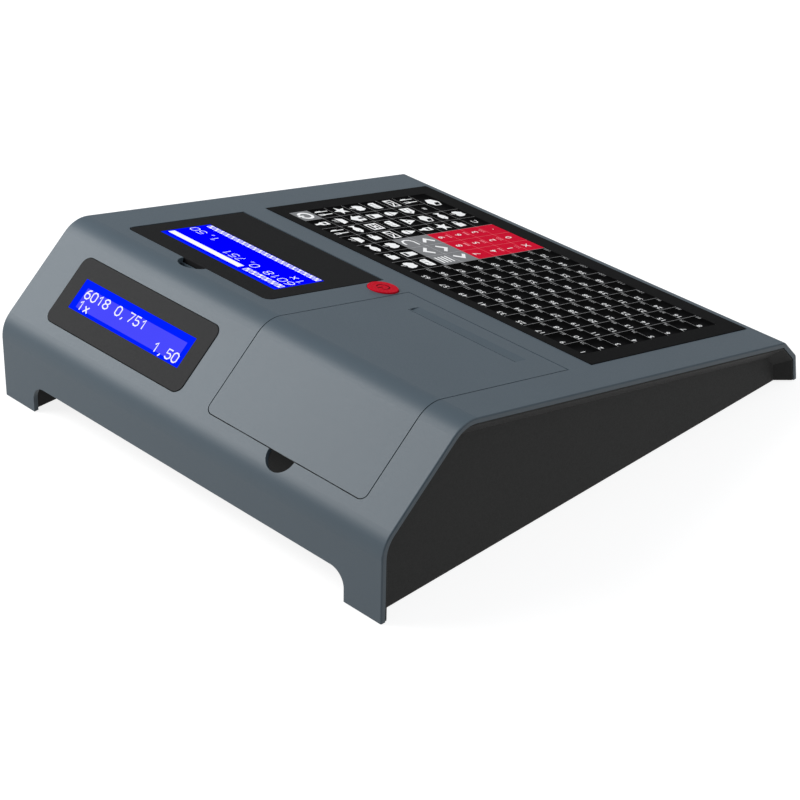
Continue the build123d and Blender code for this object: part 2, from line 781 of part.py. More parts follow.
plunger_drop = switch_drop - switch_floor - button_travel - 0.2
with BuildPart() as switch_plunger:
    with BuildSketch(top_plane.offset(-plunger_drop)):
        with Locations((0, button_v)):
            Circle(plunger_radius)
    extrude(amount=plunger_drop - stem_drop)
switch_plunger.part.label = "switch_plunger"
export_step(switch_plunger.part, "parts/switch_plunger.step")

with BuildPart() as power_switch:
    with BuildSketch(top_plane.offset(-switch_drop)):
        with Locations((0, button_v)):
            Rectangle(switch_size, switch_size)
    extrude(amount=switch_height)
    with BuildSketch(top_plane.offset(-switch_drop + switch_floor)):
        with Locations((0, button_v)):
            Circle(plunger_radius + plunger_fit)
    extrude(amount=switch_height, mode=Mode.SUBTRACT)
power_switch.part.label = "power_switch"
export_step(power_switch.part, "parts/power_switch.step")

switch_board_v = (hinge_v - ear_half + switch_rear_v) / 2
with BuildPart() as switch_board:
    with BuildSketch(top_plane.offset(-switch_drop)):
        with Locations((0, switch_board_v)):
            Rectangle(2 * ear_centres[0] + ear_width, switch_rear_v - hinge_v + ear_half)
    extrude(amount=-board_wall)
switch_board.part.label = "switch_board"
export_step(switch_board.part, "parts/switch_board.step")

# ================================================================ customer display
bezel_back = cover_wall + seat_gap
with BuildPart() as customer_bezel:
    with BuildSketch(slope_plane.offset(-bezel_back)):
        with Locations((-bezel_x, bezel_s)):
            RectangleRounded(*bezel_size, bezel_corner - frame_clear)
    extrude(amount=bezel_back + bezel_proud)
    chamfer(customer_bezel.faces().filter_by(slope_plane).sort_by(Axis.Z)[-1].edges(), frame_clear)
    # flange and box behind the cover
    with BuildSketch(slope_plane.offset(-bezel_back)):
        with Locations((-bezel_x, bezel_s)):
            Rectangle(bezel_size[0] + 2 * bezel_flange, bezel_size[1] + 2 * bezel_flange)
    extrude(amount=-bezel_flange_wall)
    with BuildSketch(slope_plane.offset(-bezel_back)):
        with Locations((-bezel_x, bezel_s)):
            Rectangle(bezel_size[0] - 2 * bezel_box_inset, bezel_size[1] - 2 * bezel_box_inset)
    extrude(amount=bezel_flange_wall - bezel_box_depth)
    with BuildSketch(slope_plane.offset(-flap_wall)):
        with Locations((-bezel_x, bezel_s)):
            Rectangle(bezel_size[0] - 4 * bezel_box_inset, bezel_size[1] - 4 * bezel_box_inset)
    extrude(amount=-bezel_box_depth, mode=Mode.SUBTRACT)
    # window with the lens pocket behind it
    with BuildSketch(slope_plane.offset(bezel_proud)):
        with Locations((-bezel_x, customer_glass_s)):
            Rectangle(*customer_glass)
    extrude(amount=-2 * bezel_back, mode=Mode.SUBTRACT)
    with BuildSketch(slope_plane.offset(-lens_skin)):
        with Locations((-bezel_x, customer_glass_s)):
            Rectangle(customer_glass[0] + 2 * lens_margin, customer_glass[1] + 2 * lens_margin)
    extrude(amount=-2 * bezel_back, mode=Mode.SUBTRACT)
customer_bezel.part.label = "customer_bezel"
export_step(customer_bezel.part, "parts/customer_bezel.step")

customer_stack = display_stack(slope_plane, (-bezel_x, customer_glass_s), customer_glass)
customer_lens, customer_lcd, customer_board = customer_stack
customer_lens.part.label = "customer_lens"
export_step(customer_lens.part, "parts/customer_lens.step")
customer_lcd.part.label = "customer_lcd"
export_step(customer_lcd.part, "parts/customer_lcd.step")
customer_board.part.label = "customer_board"
export_step(customer_board.part, "parts/customer_board.step")

# ================================================================ keyboard
keys_centre_v = key_area_v + key_rows * key_pitch / 2
sheet_size = [side + 2 * sheet_margin for side in keys_size]
sheet_top = sheet_sink
board_back = sheet_top + sheet_wall + board_wall
flange_size = (2 * (frame_half_x + frame_flange), frame_length + 2 * frame_flange)
frame_screw_row = (frame_half_x + keys_size[0] / 2 + sheet_margin) / 2
keyboard_screw_grid = (2 * frame_screw_row, (frame_length - screw_row_inset) / 2)
with BuildPart() as keyboard_frame:
    with BuildSketch(top_plane.offset(-frame_drop)):
        with Locations((0, frame_v)):
            RectangleRounded(2 * frame_half_x, frame_length, frame_corner)
    extrude(amount=frame_drop + frame_proud)
    chamfer(keyboard_frame.faces().filter_by(top_plane).sort_by(Axis.Z)[-1].edges(), frame_proud - 0.05)
    with BuildSketch(top_plane.offset(-frame_drop)):
        with Locations((0, frame_v)):
            Rectangle(*flange_size)
    extrude(amount=frame_drop - cover_wall - seat_gap)
    with BuildSketch(top_plane.offset(-frame_drop)):
        with Locations((0, keys_centre_v)):
            Rectangle(*keys_size)
    extrude(amount=2 * frame_drop, mode=Mode.SUBTRACT)
    with BuildSketch(top_plane.offset(-frame_drop)):
        with Locations((0, keys_centre_v)):
            Rectangle(sheet_size[0] + 2 * frame_clear, sheet_size[1] + 2 * frame_clear)
    extrude(amount=frame_drop - sheet_top, mode=Mode.SUBTRACT)
    with BuildSketch(top_plane.offset(-frame_drop)):
        with Locations((0, frame_v)):
            with GridLocations(*keyboard_screw_grid, 2, 3):
                Circle(screw_radius + screw_fit)
    extrude(amount=frame_drop - sheet_top, mode=Mode.SUBTRACT)
keyboard_frame.part.label = "keyboard_frame"
export_step(keyboard_frame.part, "parts/keyboard_frame.step")

# one moulded sheet; the last two fields of the front row are a double one
with BuildPart() as key_sheet:
    with BuildSketch(top_plane.offset(-sheet_top - sheet_wall)):
        with Locations((0, keys_centre_v)):
            Rectangle(*sheet_size)
    extrude(amount=sheet_wall)
    with BuildSketch(top_plane.offset(-sheet_top)):
        with Locations((0, keys_centre_v + key_pitch / 2)):
            with GridLocations(key_pitch, key_pitch, key_columns, key_rows - 1):
                Rectangle(key_pad, key_pad)
        with Locations((-key_pitch, key_area_v + key_pitch / 2)):
            with GridLocations(key_pitch, 1, key_columns - 2, 1):
                Rectangle(key_pad, key_pad)
        with Locations((keys_size[0] / 2 - key_pitch, key_area_v + key_pitch / 2)):
            Rectangle(key_pad + key_pitch, key_pad)
    extrude(amount=key_lift)
key_sheet.part.label = "key_sheet"
export_step(key_sheet.part, "parts/key_sheet.step")

with BuildPart() as keyboard_board:
    with BuildSketch(top_plane.offset(-board_back)):
        with Locations((0, keys_centre_v)):
            Rectangle(*sheet_size)
    extrude(amount=board_wall)
keyboard_board.part.label = "keyboard_board"
export_step(keyboard_board.part, "parts/keyboard_board.step")

ribbon_v = key_area_v + keys_size[1] - key_pitch / 2
socket_wide = (ribbon_width + 2 * ribbon_socket_wall, ribbon_socket_depth)
with BuildPart() as keyboard_tray:
    with BuildSketch(top_plane.offset(-frame_drop - tray_wall)):
        with Locations((0, frame_v)):
            Rectangle(*flange_size)
    extrude(amount=tray_wall)
    # posts and ribs that hold the board up
    with BuildSketch(top_plane.offset(-frame_drop)):
        with Locations((0, keys_centre_v)):
            with GridLocations(2 * key_pitch, 2 * key_pitch, key_columns // 2, key_rows // 2):
                Rectangle(support_side, support_side)
    extrude(amount=frame_drop - board_back)
    with BuildSketch(top_plane.offset(-frame_drop - tray_wall)):
        with Locations((ribbon_x, ribbon_v)):
            Rectangle(socket_wide[0] + ribbon_socket_wall, socket_wide[1] + ribbon_socket_wall)
        with Locations((0, frame_v)):
            with GridLocations(*keyboard_screw_grid, 2, 3):
                Circle(screw_radius + screw_fit)
    extrude(amount=frame_drop, mode=Mode.SUBTRACT)
keyboard_tray.part.label = "keyboard_tray"
export_step(keyboard_tray.part, "parts/keyboard_tray.step")


def screws(plane, centre, spacing, counts, shank):
    """Hexagon-head screws with their heads on the plane and their shanks into it."""
    with BuildPart() as group:
        with BuildSketch(plane):
            with Locations(centre):
                with GridLocations(*spacing, *counts):
                    RegularPolygon(screw_head, 6)
        extrude(amount=screw_head_height)
        with BuildSketch(plane):
            with Locations(centre):
                with GridLocations(*spacing, *counts):
                    Circle(screw_radius)
        extrude(amount=-shank)
    return group.part


tray_under = top_plane.offset(-frame_drop - tray_wall)
under_plane = Plane(origin=tray_under.origin, x_dir=tray_under.x_dir, z_dir=-tray_under.z_dir)
keyboard_shank = frame_drop + tray_wall - sheet_top - seat_gap
with BuildPart() as keyboard_screws:
    add(screws(under_plane, (0, -frame_v), keyboard_screw_grid, (2, 3), keyboard_shank))
keyboard_screws.part.label = "keyboard_screws"
export_step(keyboard_screws.part, "parts/keyboard_screws.step")

floor_plane = Plane(origin=(0, 0, tub_bottom + screw_head_height), x_dir=(1, 0, 0), z_dir=(0, 0, -1))
column_grid = (2 * column_x, column_rows[0] - column_rows[1])
with BuildPart() as cover_screws:
    add(screws(floor_plane, (0, -sum(column_rows) / 2), column_grid, (2, 2), column_bore - seat_gap))
cover_screws.part.label = "cover_screws"
export_step(cover_screws.part, "parts/cover_screws.step")

# ================================================================ paper well
well_radius = roll_radius + well_clear
well_outer = well_radius + well_wall
well_half = paper_width / 2 + well_side_clear
well_y = ridge[0] - well_before_ridge
well_z = floor_top + well_outer
with BuildPart() as paper_well:
    with BuildSketch(Plane.YZ.offset(printer_x)) as well_profile:
        with Locations((well_y, well_z)):
            Circle(well_outer)
        with Locations((well_y, well_z + far / 2)):
            Rectangle(2 * well_outer, far)
        with Locations((well_y, floor_top + well_radius / 4)):
            Rectangle(well_foot, well_radius / 2)
        add(outline(lid_wall + well_lid_gap, floor_top, plane=Plane.XY), mode=Mode.INTERSECT)
    extrude(amount=well_half + well_wall, both=True)
    with BuildSketch(Plane.YZ.offset(printer_x)):
        with Locations((well_y, well_z)):
            Circle(well_radius)
        with Locations((well_y, well_z + far / 2)):
            Rectangle(2 * well_radius, far)
        with Locations((well_y - well_outer, well_z + well_front_rise + far / 2)):
            Rectangle(well_outer, far)
        with Locations((well_y + well_outer, well_z + well_back_rise + far / 2)):
            Rectangle(well_outer, far)
    extrude(amount=well_half, both=True, mode=Mode.SUBTRACT)
paper_well.part.label = "paper_well"
export_step(paper_well.part, "parts/paper_well.step")

# ================================================================ printer
platen_y, platen_z = platen_at
head_rear = platen_y - platen_radius - paper_gap
head_y = head_rear - head_wall / 2
head_bottom = platen_z - head_under
head_top = platen_z + head_over
head_rod_z = platen_z - head_rod_under
frame_top = platen_z + frame_over
frame_step_y = platen_y - frame_step[0]
frame_step_z = platen_z - frame_step[1]
motor_y = platen_y + motor_behind
motor_z = platen_z - motor_below
train_across = math.hypot(motor_behind, motor_below)
motor_reach = gear_module * (pinion_teeth + idler_teeth) / 2
platen_reach = gear_module * (platen_teeth + idler_teeth) / 2
along = (motor_reach**2 - platen_reach**2 + train_across**2) / (2 * train_across)
aside = math.sqrt(motor_reach**2 - along**2)
idler_y = motor_y + (aside * motor_below - along * motor_behind) / train_across
idler_z = motor_z + (along * motor_below + aside * motor_behind) / train_across
gear_near = plate_outer + gear_gap
gear_far = gear_near + gear_width

with BuildPart() as printer_frame:
    edge = [(frame_front_y, floor_top), (frame_rear_y, floor_top), (frame_rear_y, frame_top)]
    edge += [(frame_step_y, frame_top), (frame_step_y, frame_step_z), (frame_front_y, frame_step_z)]
    with BuildSketch(Plane.YZ.offset(printer_x)) as cheek:
        with BuildLine():
            Polyline(*edge, close=True)
        make_face()
        fillet(cheek.vertices().filter_by_position(Axis.Y, frame_step_z + 1, frame_top), frame_bend)
    extrude(amount=plate_outer, both=True)
    with BuildSketch(Plane.YZ.offset(printer_x)):
        with Locations((frame_front_y + frame_sheet + far / 2, floor_top + far / 2)):
            Rectangle(far, far)
        with Locations((frame_front_y, frame_step_z + far / 2)):
            Rectangle(far, far)
    extrude(amount=plate_inner, both=True, mode=Mode.SUBTRACT)
    # flanges on the tub's floor
    with BuildSketch(Plane.XY.offset(floor_top)) as flanges:
        with Locations((printer_x, frame_y)):
            with GridLocations(frame_screws[0], 1, 2, 1):
                Rectangle(flange_run + 0.2, frame_rear_y - frame_front_y)
            with GridLocations(*frame_screws, 2, 2):
                Circle(screw_radius + screw_fit, mode=Mode.SUBTRACT)
    extrude(amount=frame_sheet)
    # bush holes, head rod holes, motor opening and the seat of the idler's post
    with BuildSketch(Plane.YZ.offset(printer_x)):
        with Locations((platen_y, platen_z)):
            Circle(bush_radius)
        with Locations((head_y, head_rod_z)):
            Circle(head_rod_radius + pin_fit)
    extrude(amount=2 * plate_outer, both=True, mode=Mode.SUBTRACT)
    with BuildSketch(Plane.YZ.offset(printer_x)):
        with Locations((motor_y, motor_z)):
            Circle(motor_radius / 3 + frame_clear)
        with Locations((idler_y, idler_z)):
            Circle(post_radius)
    extrude(amount=-2 * plate_outer, mode=Mode.SUBTRACT)
printer_frame.part.label = "printer_frame"
export_step(printer_frame.part, "parts/printer_frame.step")

frame_screw_plane = Plane.XY.offset(floor_top + frame_sheet)
frame_shank = frame_sheet + screw_bite - seat_gap
with BuildPart() as printer_screws:
    add(screws(frame_screw_plane, (printer_x, frame_y), frame_screws, (2, 2), frame_shank))
printer_screws.part.label = "printer_screws"
export_step(printer_screws.part, "parts/printer_screws.step")


def rod(centre, radius, low, high, bore=0.0):
    """Round bar along X at centre (y, z) between two distances from the printer's middle."""
    with BuildPart() as bar:
        with BuildSketch(Plane.YZ.offset(printer_x + low)):
            with Locations(centre):
                Circle(radius)
                if bore > 0:
                    Circle(bore, mode=Mode.SUBTRACT)
        extrude(amount=high - low)
    return bar.part


roller_half = plate_inner - 3 * bush_collar
with BuildPart() as platen_roller:
    add(rod(platen_at, platen_radius, -roller_half, roller_half, platen_shaft_radius + pin_fit))
platen_roller.part.label = "platen_roller"
export_step(platen_roller.part, "parts/platen_roller.step")

with BuildPart() as platen_shaft:
    add(rod(platen_at, platen_shaft_radius, -gear_far - bush_collar, plate_outer + 2 * bush_collar))
platen_shaft.part.label = "platen_shaft"
export_step(platen_shaft.part, "parts/platen_shaft.step")

with BuildPart() as platen_bushes:
    for side in (-1, 1):
        low, high = sorted((side * plate_inner, side * plate_outer))
        add(rod(platen_at, bush_radius, low, high))
        low, high = sorted((side * plate_inner, side * (plate_inner - bush_collar)))
        add(rod(platen_at, bush_flange, low, high))
    add(rod(platen_at, platen_shaft_radius + bush_fit, -far, far), mode=Mode.SUBTRACT)
platen_bushes.part.label = "platen_bushes"
export_step(platen_bushes.part, "parts/platen_bushes.step")

head_half = plate_inner - paper_gap
with BuildPart() as print_head:
    with BuildSketch(Plane.YZ.offset(printer_x)) as head_profile:
        with Locations((head_y, (head_bottom + head_top) / 2)):
            Rectangle(head_wall, head_top - head_bottom)
        chamfer(head_profile.vertices(), paper_gap)
        with Locations((head_y, head_rod_z)):
            Circle(head_rod_radius + pin_fit, mode=Mode.SUBTRACT)
    extrude(amount=head_half, both=True)
print_head.part.label = "print_head"
export_step(print_head.part, "parts/print_head.step")

with BuildPart() as head_rod:
    add(rod((head_y, head_rod_z), head_rod_radius, -plate_outer, plate_outer))
head_rod.part.label = "head_rod"
export_step(head_rod.part, "parts/head_rod.step")

cross_rear = frame_front_y + frame_sheet
spring_touch = head_y - head_wall / 2 - spring_wall / 2 - cable_gap
with BuildPart() as head_springs:
    with BuildSketch(Plane.YZ.offset(printer_x - spring_spread / 2 - spring_width / 2)) as leaf:
        with BuildLine():
            FilletPolyline(
                (cross_rear + spring_wall / 2, frame_step_z - 1.5 * spring_width),
                (cross_rear + spring_wall / 2, frame_step_z - spring_width / 2),
                (spring_touch, frame_step_z + spring_width / 2),
                (spring_touch, frame_step_z + spring_width * 0.75),
                radius=[spring_width / 2, spring_width / 6],
            )
        trace(line_width=spring_wall)
    extrude(amount=spring_width)
    extrude(leaf.sketch.moved(Location((spring_spread, 0, 0))), amount=spring_width)
head_springs.part.label = "head_springs"
export_step(head_springs.part, "parts/head_springs.step")

saw_count = math.floor(2 * head_half / saw_pitch)
with BuildPart() as tear_bar:
    with BuildSketch(Plane.XZ.offset(-head_y - blade_wall / 2)):
        with Locations((printer_x, head_top + (blade_height - saw_pitch / 2) / 2)):
            Rectangle(2 * head_half, blade_height - saw_pitch / 2)
        with Locations((printer_x, head_top + blade_height - saw_pitch / 2)):
            with GridLocations(saw_pitch, 1, saw_count, 1):
                Polygon((-saw_pitch / 2, -0.01), (saw_pitch / 2, -0.01), (0, saw_pitch / 2), align=None)
    extrude(amount=blade_wall)
tear_bar.part.label = "tear_bar"
export_step(tear_bar.part, "parts/tear_bar.step")


def gear(teeth, centre, phase, bore):
    """Spur gear on the printer's left side; phase is the angle of one tooth, in degrees."""
    pitch = gear_module * teeth / 2
    base = pitch * math.cos(math.radians(20))
    root = pitch - 1.25 * gear_module
    tip = pitch + gear_module
    at_pitch = math.tan(math.radians(20)) - math.radians(20)
    half = math.pi / (2 * teeth) - backlash / (4 * pitch) + at_pitch
    flank = []
    for step in range(4):
        radius = max(base, root) + (tip - max(base, root)) * step / 3
        turn = math.sqrt(max(0.0, (radius / base) ** 2 - 1))
        flank.append((radius, half - turn + math.atan(turn)))
    if root < base:
        flank.insert(0, (root, half))
    points = []
    for tooth in range(teeth):
        middle = math.radians(phase) + 2 * math.pi * tooth / teeth
        for radius, angle in flank:
            points.append((radius * math.cos(middle - angle), radius * math.sin(middle - angle)))
        for radius, angle in reversed(flank):
            points.append((radius * math.cos(middle + angle), radius * math.sin(middle + angle)))
    outer_face = Plane(origin=(printer_x - gear_far, *centre), x_dir=(0, 1, 0), z_dir=(1, 0, 0))
    with BuildPart() as wheel:
        with BuildSketch(outer_face):
            with BuildLine():
                Polyline(*points, close=True)
            make_face()
            Circle(bore, mode=Mode.SUBTRACT)
        extrude(amount=gear_width)
        # the larger wheels are recessed between the rim and the hub
        if root > bore + 5 * gear_module:
            with BuildSketch(outer_face):
                Circle(root - 2 * gear_module)
                Circle(bore + 2 * gear_module, mode=Mode.SUBTRACT)
            extrude(amount=gear_width / 3, mode=Mode.SUBTRACT)
    return wheel.part


motor_to_idler = math.degrees(math.atan2(idler_z - motor_z, idler_y - motor_y))
idler_to_platen = math.degrees(math.atan2(platen_z - idler_z, platen_y - idler_y))
idler_phase = motor_to_idler + 180 + 180 / idler_teeth
idler_step = 360 / idler_teeth
turn_left = (idler_phase - idler_to_platen) % idler_step
platen_phase = idler_to_platen + 180 - turn_left * idler_teeth / platen_teeth + 180 / platen_teeth

with BuildPart() as motor_pinion:
    add(gear(pinion_teeth, (motor_y, motor_z), motor_to_idler, shaft_radius + pin_fit))
motor_pinion.part.label = "motor_pinion"
export_step(motor_pinion.part, "parts/motor_pinion.step")

with BuildPart() as idler_gear:
    add(gear(idler_teeth, (idler_y, idler_z), idler_phase, post_radius + bush_fit))
idler_gear.part.label = "idler_gear"
export_step(idler_gear.part, "parts/idler_gear.step")

with BuildPart() as platen_gear:
    add(gear(platen_teeth, platen_at, platen_phase, platen_shaft_radius + pin_fit))
platen_gear.part.label = "platen_gear"
export_step(platen_gear.part, "parts/platen_gear.step")

with BuildPart() as idler_post:
    add(rod((idler_y, idler_z), post_radius, -gear_far - gear_gap, -plate_inner))
    add(rod((idler_y, idler_z), post_radius * 1.75, lens_clear - gear_near, -plate_outer))
    add(rod((idler_y, idler_z), post_radius * 1.5, -gear_far - gear_gap, -gear_far - lens_clear))
idler_post.part.label = "idler_post"
export_step(idler_post.part, "parts/idler_post.step")

with BuildPart() as stepper_motor:
    add(rod((motor_y, motor_z), motor_radius, -plate_inner, -plate_inner + motor_length))
    chamfer(stepper_motor.edges().filter_by(GeomType.CIRCLE), motor_chamfer)
    add(rod((motor_y, motor_z), motor_radius / 3, -plate_outer, -plate_inner + motor_chamfer))
    hole_end = motor_length / 2 - plate_inner
    add(rod((motor_y, motor_z), shaft_radius + bush_fit, -gear_far, hole_end), mode=Mode.SUBTRACT)
stepper_motor.part.label = "stepper_motor"
export_step(stepper_motor.part, "parts/stepper_motor.step")

with BuildPart() as motor_shaft:
    add(rod((motor_y, motor_z), shaft_radius, -gear_far - bush_collar, hole_end - bush_collar))
motor_shaft.part.label = "motor_shaft"
export_step(motor_shaft.part, "parts/motor_shaft.step")

# ================================================================ electronics
with BuildPart() as main_board:
    with BuildSketch(Plane.XY.offset(board_top - board_wall)):
        with Locations((board_x, board_y)):
            Rectangle(*board_size)
            with GridLocations(*board_holes, 2, 2):
                Circle(screw_radius + screw_fit, mode=Mode.SUBTRACT)
    extrude(amount=board_wall)
main_board.part.label = "main_board"
export_step(main_board.part, "parts/main_board.step")

board_shank = board_wall + board_lift + screw_bite - seat_gap
with BuildPart() as board_screws:
    add(screws(Plane.XY.offset(board_top), (board_x, board_y), board_holes, (2, 2), board_shank))
board_screws.part.label = "board_screws"
export_step(board_screws.part, "parts/board_screws.step")


def modular_socket(body, mouth):
    """Box on the board with a modular jack's stepped mouth, flush with the rear wall."""
    x, width, height = body
    back = Plane.XZ.offset(-rear_wall_y)
    with BuildPart() as block:
        with BuildSketch(back):
            with Locations((x, board_top + height / 2)):
                Rectangle(width, height)
        extrude(amount=socket_length)
        with BuildSketch(back):
            with Locations((x, board_top + height - mouth_land - mouth[1] / 2)):
                Rectangle(*mouth)
            with Locations((x, board_top + height - mouth_land - mouth[1])):
                Rectangle(mouth[0] / 2, latch_height)
        extrude(amount=socket_length - socket_end, mode=Mode.SUBTRACT)
    return block.part


with BuildPart() as serial_sockets:
    for body in serial_bodies:
        add(modular_socket(body, large_mouth))
serial_sockets.part.label = "serial_sockets"
export_step(serial_sockets.part, "parts/serial_sockets.step")

with BuildPart() as drawer_socket:
    add(modular_socket(drawer_body, small_mouth))
drawer_socket.part.label = "drawer_socket"
export_step(drawer_socket.part, "parts/drawer_socket.step")

with BuildPart() as network_socket:
    add(modular_socket(network_body, large_mouth))
network_socket.part.label = "network_socket"
export_step(network_socket.part, "parts/network_socket.step")

inlet_x, inlet_width, inlet_height = inlet_body
inlet_z = board_top + inlet_height / 2
with BuildPart() as power_inlet:
    with BuildSketch(Plane.XZ.offset(-rear_wall_y)):
        with Locations((inlet_x, inlet_z)):
            Rectangle(inlet_width, inlet_height)
    extrude(amount=socket_length)
    with BuildSketch(Plane.XZ.offset(-rear_wall_y)):
        with Locations((inlet_x, inlet_z)):
            Rectangle(*inlet_mouth)
    extrude(amount=socket_length - socket_end, mode=Mode.SUBTRACT)
    # two contact blades, set back from the mouth
    with BuildSketch(Plane.XZ.offset(blade_inset[1] - rear_wall_y)):
        with Locations((inlet_x, inlet_z)):
            with GridLocations(inlet_mouth[0] / 2, 1, 2, 1):
                Rectangle(blade_inset[2], inlet_mouth[1] - blade_inset[0])
    extrude(amount=socket_length - socket_end / 2 - blade_inset[1])
power_inlet.part.label = "power_inlet"
export_step(power_inlet.part, "parts/power_inlet.step")

# chips: x and y from the board's middle, length, width, height
chips = [
    (0, 5, 28, 28, 3.4),
    (0, -30, 20, 14, 2.6),
    (34, -2, 14, 20, 2.6),
    (34, -28, 14, 14, 2.2),
    (-32, -18, 18, 12, 2.6),
]
with BuildPart() as circuit_chips:
    for x, y, length, width, height in chips:
        with BuildSketch(Plane.XY.offset(board_top)):
            with Locations((board_x + x, board_y + y)):
                Rectangle(length, width)
        extrude(amount=height)
circuit_chips.part.label = "circuit_chips"
export_step(circuit_chips.part, "parts/circuit_chips.step")

with BuildPart() as capacitors:
    with BuildSketch(Plane.XY.offset(board_top)):
        with Locations((board_x - board_size[0] / 2 + capacitor_inset, board_y + capacitor_inset)):
            with GridLocations(1, capacitor_pitch, 1, 3):
                Circle(capacitor_radius)
    extrude(amount=capacitor_height)
capacitors.part.label = "capacitors"
export_step(capacitors.part, "parts/capacitors.step")

battery_at = (board_x - board_size[0] / 2 + battery_inset, board_y - board_size[1] / 2 + battery_inset)
with BuildPart() as backup_battery:
    with BuildSketch(Plane.XY.offset(board_top)):
        with Locations(battery_at):
            Circle(battery_radius)
    extrude(amount=battery_height)
    chamfer(backup_battery.edges().group_by(Axis.Z)[-1], rim_round / 2)
backup_battery.part.label = "backup_battery"
export_step(backup_battery.part, "parts/backup_battery.step")

# flat cables from the keyboard and the customer's display, each between two sockets
cable_start = socket_height + ribbon_wall / 2 + cable_gap
board_front = board_y - board_size[1] / 2 + 2 * board_hole_inset
board_rear = wall_front_y - socket_length - ribbon_socket_depth
customer_back = flap_wall + lcd_wall + board_wall
key_cable = [
    on_top(ribbon_v, -board_back - cable_start),
    on_top(ribbon_v, -board_back - socket_height - key_cable_bend[0]),
    (board_front, board_top + socket_height + key_cable_bend[1]),
    (board_front, board_top + cable_start),
]
customer_cable = [
    on_slope(customer_glass_s, -customer_back - cable_start),
    on_slope(customer_glass_s, -customer_back - socket_height - customer_cable_bend[0]),
    (board_rear, board_top + socket_height + customer_cable_bend[1]),
    (board_rear, board_top + cable_start),
]
with BuildPart() as ribbon_sockets:
    with BuildSketch(top_plane.offset(-board_back - socket_height)):
        with Locations((ribbon_x, ribbon_v)):
            Rectangle(*socket_wide)
    extrude(amount=socket_height)
    with BuildSketch(slope_plane.offset(-customer_back - socket_height)):
        with Locations((-ribbon_x, customer_glass_s)):
            Rectangle(*socket_wide)
    extrude(amount=socket_height)
    with BuildSketch(Plane.XY.offset(board_top)):
        for y in (board_front, board_rear):
            with Locations((ribbon_x, y)):
                Rectangle(*socket_wide)
    extrude(amount=socket_height)
ribbon_sockets.part.label = "ribbon_sockets"
export_step(ribbon_sockets.part, "parts/ribbon_sockets.step")


def ribbon(route, radii):
    """Flat cable, ribbon_width wide, along a route of (y, z) points."""
    with BuildPart() as strip:
        with BuildSketch(Plane.YZ.offset(ribbon_x)):
            with BuildLine():
                FilletPolyline(*route, radius=radii)
            trace(line_width=ribbon_wall)
        extrude(amount=ribbon_width / 2, both=True)
    return strip.part


with BuildPart() as keyboard_ribbon:
    add(ribbon(key_cable, [6, 6]))
keyboard_ribbon.part.label = "keyboard_ribbon"
export_step(keyboard_ribbon.part, "parts/keyboard_ribbon.step")

with BuildPart() as customer_ribbon:
    add(ribbon(customer_cable, [5, 8]))
customer_ribbon.part.label = "customer_ribbon"
export_step(customer_ribbon.part, "parts/customer_ribbon.step")
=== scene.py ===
"""Dresses a counter-top ticket register: key film, lettering, displays and finishes."""

import json
import math

import bpy
from bpy.props import FloatProperty, FloatVectorProperty, PointerProperty
from mathutils import Matrix, Vector


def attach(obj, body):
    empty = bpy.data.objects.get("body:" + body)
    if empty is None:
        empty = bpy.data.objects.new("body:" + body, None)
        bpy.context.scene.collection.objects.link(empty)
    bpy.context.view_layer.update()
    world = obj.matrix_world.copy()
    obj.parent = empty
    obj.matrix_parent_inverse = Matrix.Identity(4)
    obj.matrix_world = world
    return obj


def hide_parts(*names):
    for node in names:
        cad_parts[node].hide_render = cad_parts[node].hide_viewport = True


bl_info = {
    "name": "Ticket register",
    "version": (1, 0, 0),
    "blender": (4, 5, 0),
    "location": "View3D > Sidebar > Register",
    "description": "Key film, lettering, displays and finishes of a counter-top ticket register",
    "category": "Object",
}

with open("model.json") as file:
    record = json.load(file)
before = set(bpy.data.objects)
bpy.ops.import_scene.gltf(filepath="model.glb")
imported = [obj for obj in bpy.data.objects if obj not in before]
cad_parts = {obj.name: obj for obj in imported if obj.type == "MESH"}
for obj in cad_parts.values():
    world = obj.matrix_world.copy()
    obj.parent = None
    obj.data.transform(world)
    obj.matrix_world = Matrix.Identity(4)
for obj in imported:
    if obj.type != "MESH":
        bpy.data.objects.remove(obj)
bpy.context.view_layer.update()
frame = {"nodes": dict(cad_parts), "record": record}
nodes = frame["nodes"]
joints = {joint["name"]: joint for joint in frame["record"]["behaviour"]["joints"]}

MM = 0.001
LAYER = 0.00002  # half the thickness of a lit layer
TINY = 1e-7  # a shorter length counts as nothing
SEAM = 1e-6  # points nearer than this are one point
UPWARD = 0.9  # a face whose normal has more than this along Z looks up
CORNER_SEGMENTS = 2
SCOOP_SIDES = 48
LINE_INSET = 0.0003  # how far coloured lines stay inside their group of keys
FILM_EDGE = 0.0021  # strip of the key film under its frame
LENS_RIM = 0.00085  # strip of a display lens under its frame
GLASS_GAP = 0.00005  # between a display glass and its frame
LINE_CORNER = 0.0003
GLASS_CORNER = 0.0004
FILM_CORNER = 0.0005
PAD_RIM = 0.03  # flat rim and sloping edge of a pad's dish, as shares of the pad's side
PAD_SLOPE = 0.14

# The keyboard. A key is a column from the left and a row from the rear.
COLUMNS = 16
ROWS = 8
NUMBER_COLUMNS = 9
RED_KEYS = {
    (9, 4): "7", (10, 4): "8", (11, 4): "9",
    (9, 5): "4", (10, 5): "5", (11, 5): "6",
    (9, 6): "1", (10, 6): "2", (11, 6): "3",
    (9, 7): "X", (10, 7): "0", (11, 7): ".",
}
GREY_KEYS = {
    (9, 2): "menu", (10, 2): "up", (11, 2): "turn",
    (9, 3): "left", (10, 3): "down", (11, 3): "right",
    (15, 0): "ring",
}
WORD_KEYS = {(12, 7): "C", (14, 6): "="}
RING_KEY = (15, 0)
WIDE_KEY = ((14, 7), (15, 7))
SINGLE_DIGITS = "07"  # red keys with no second line

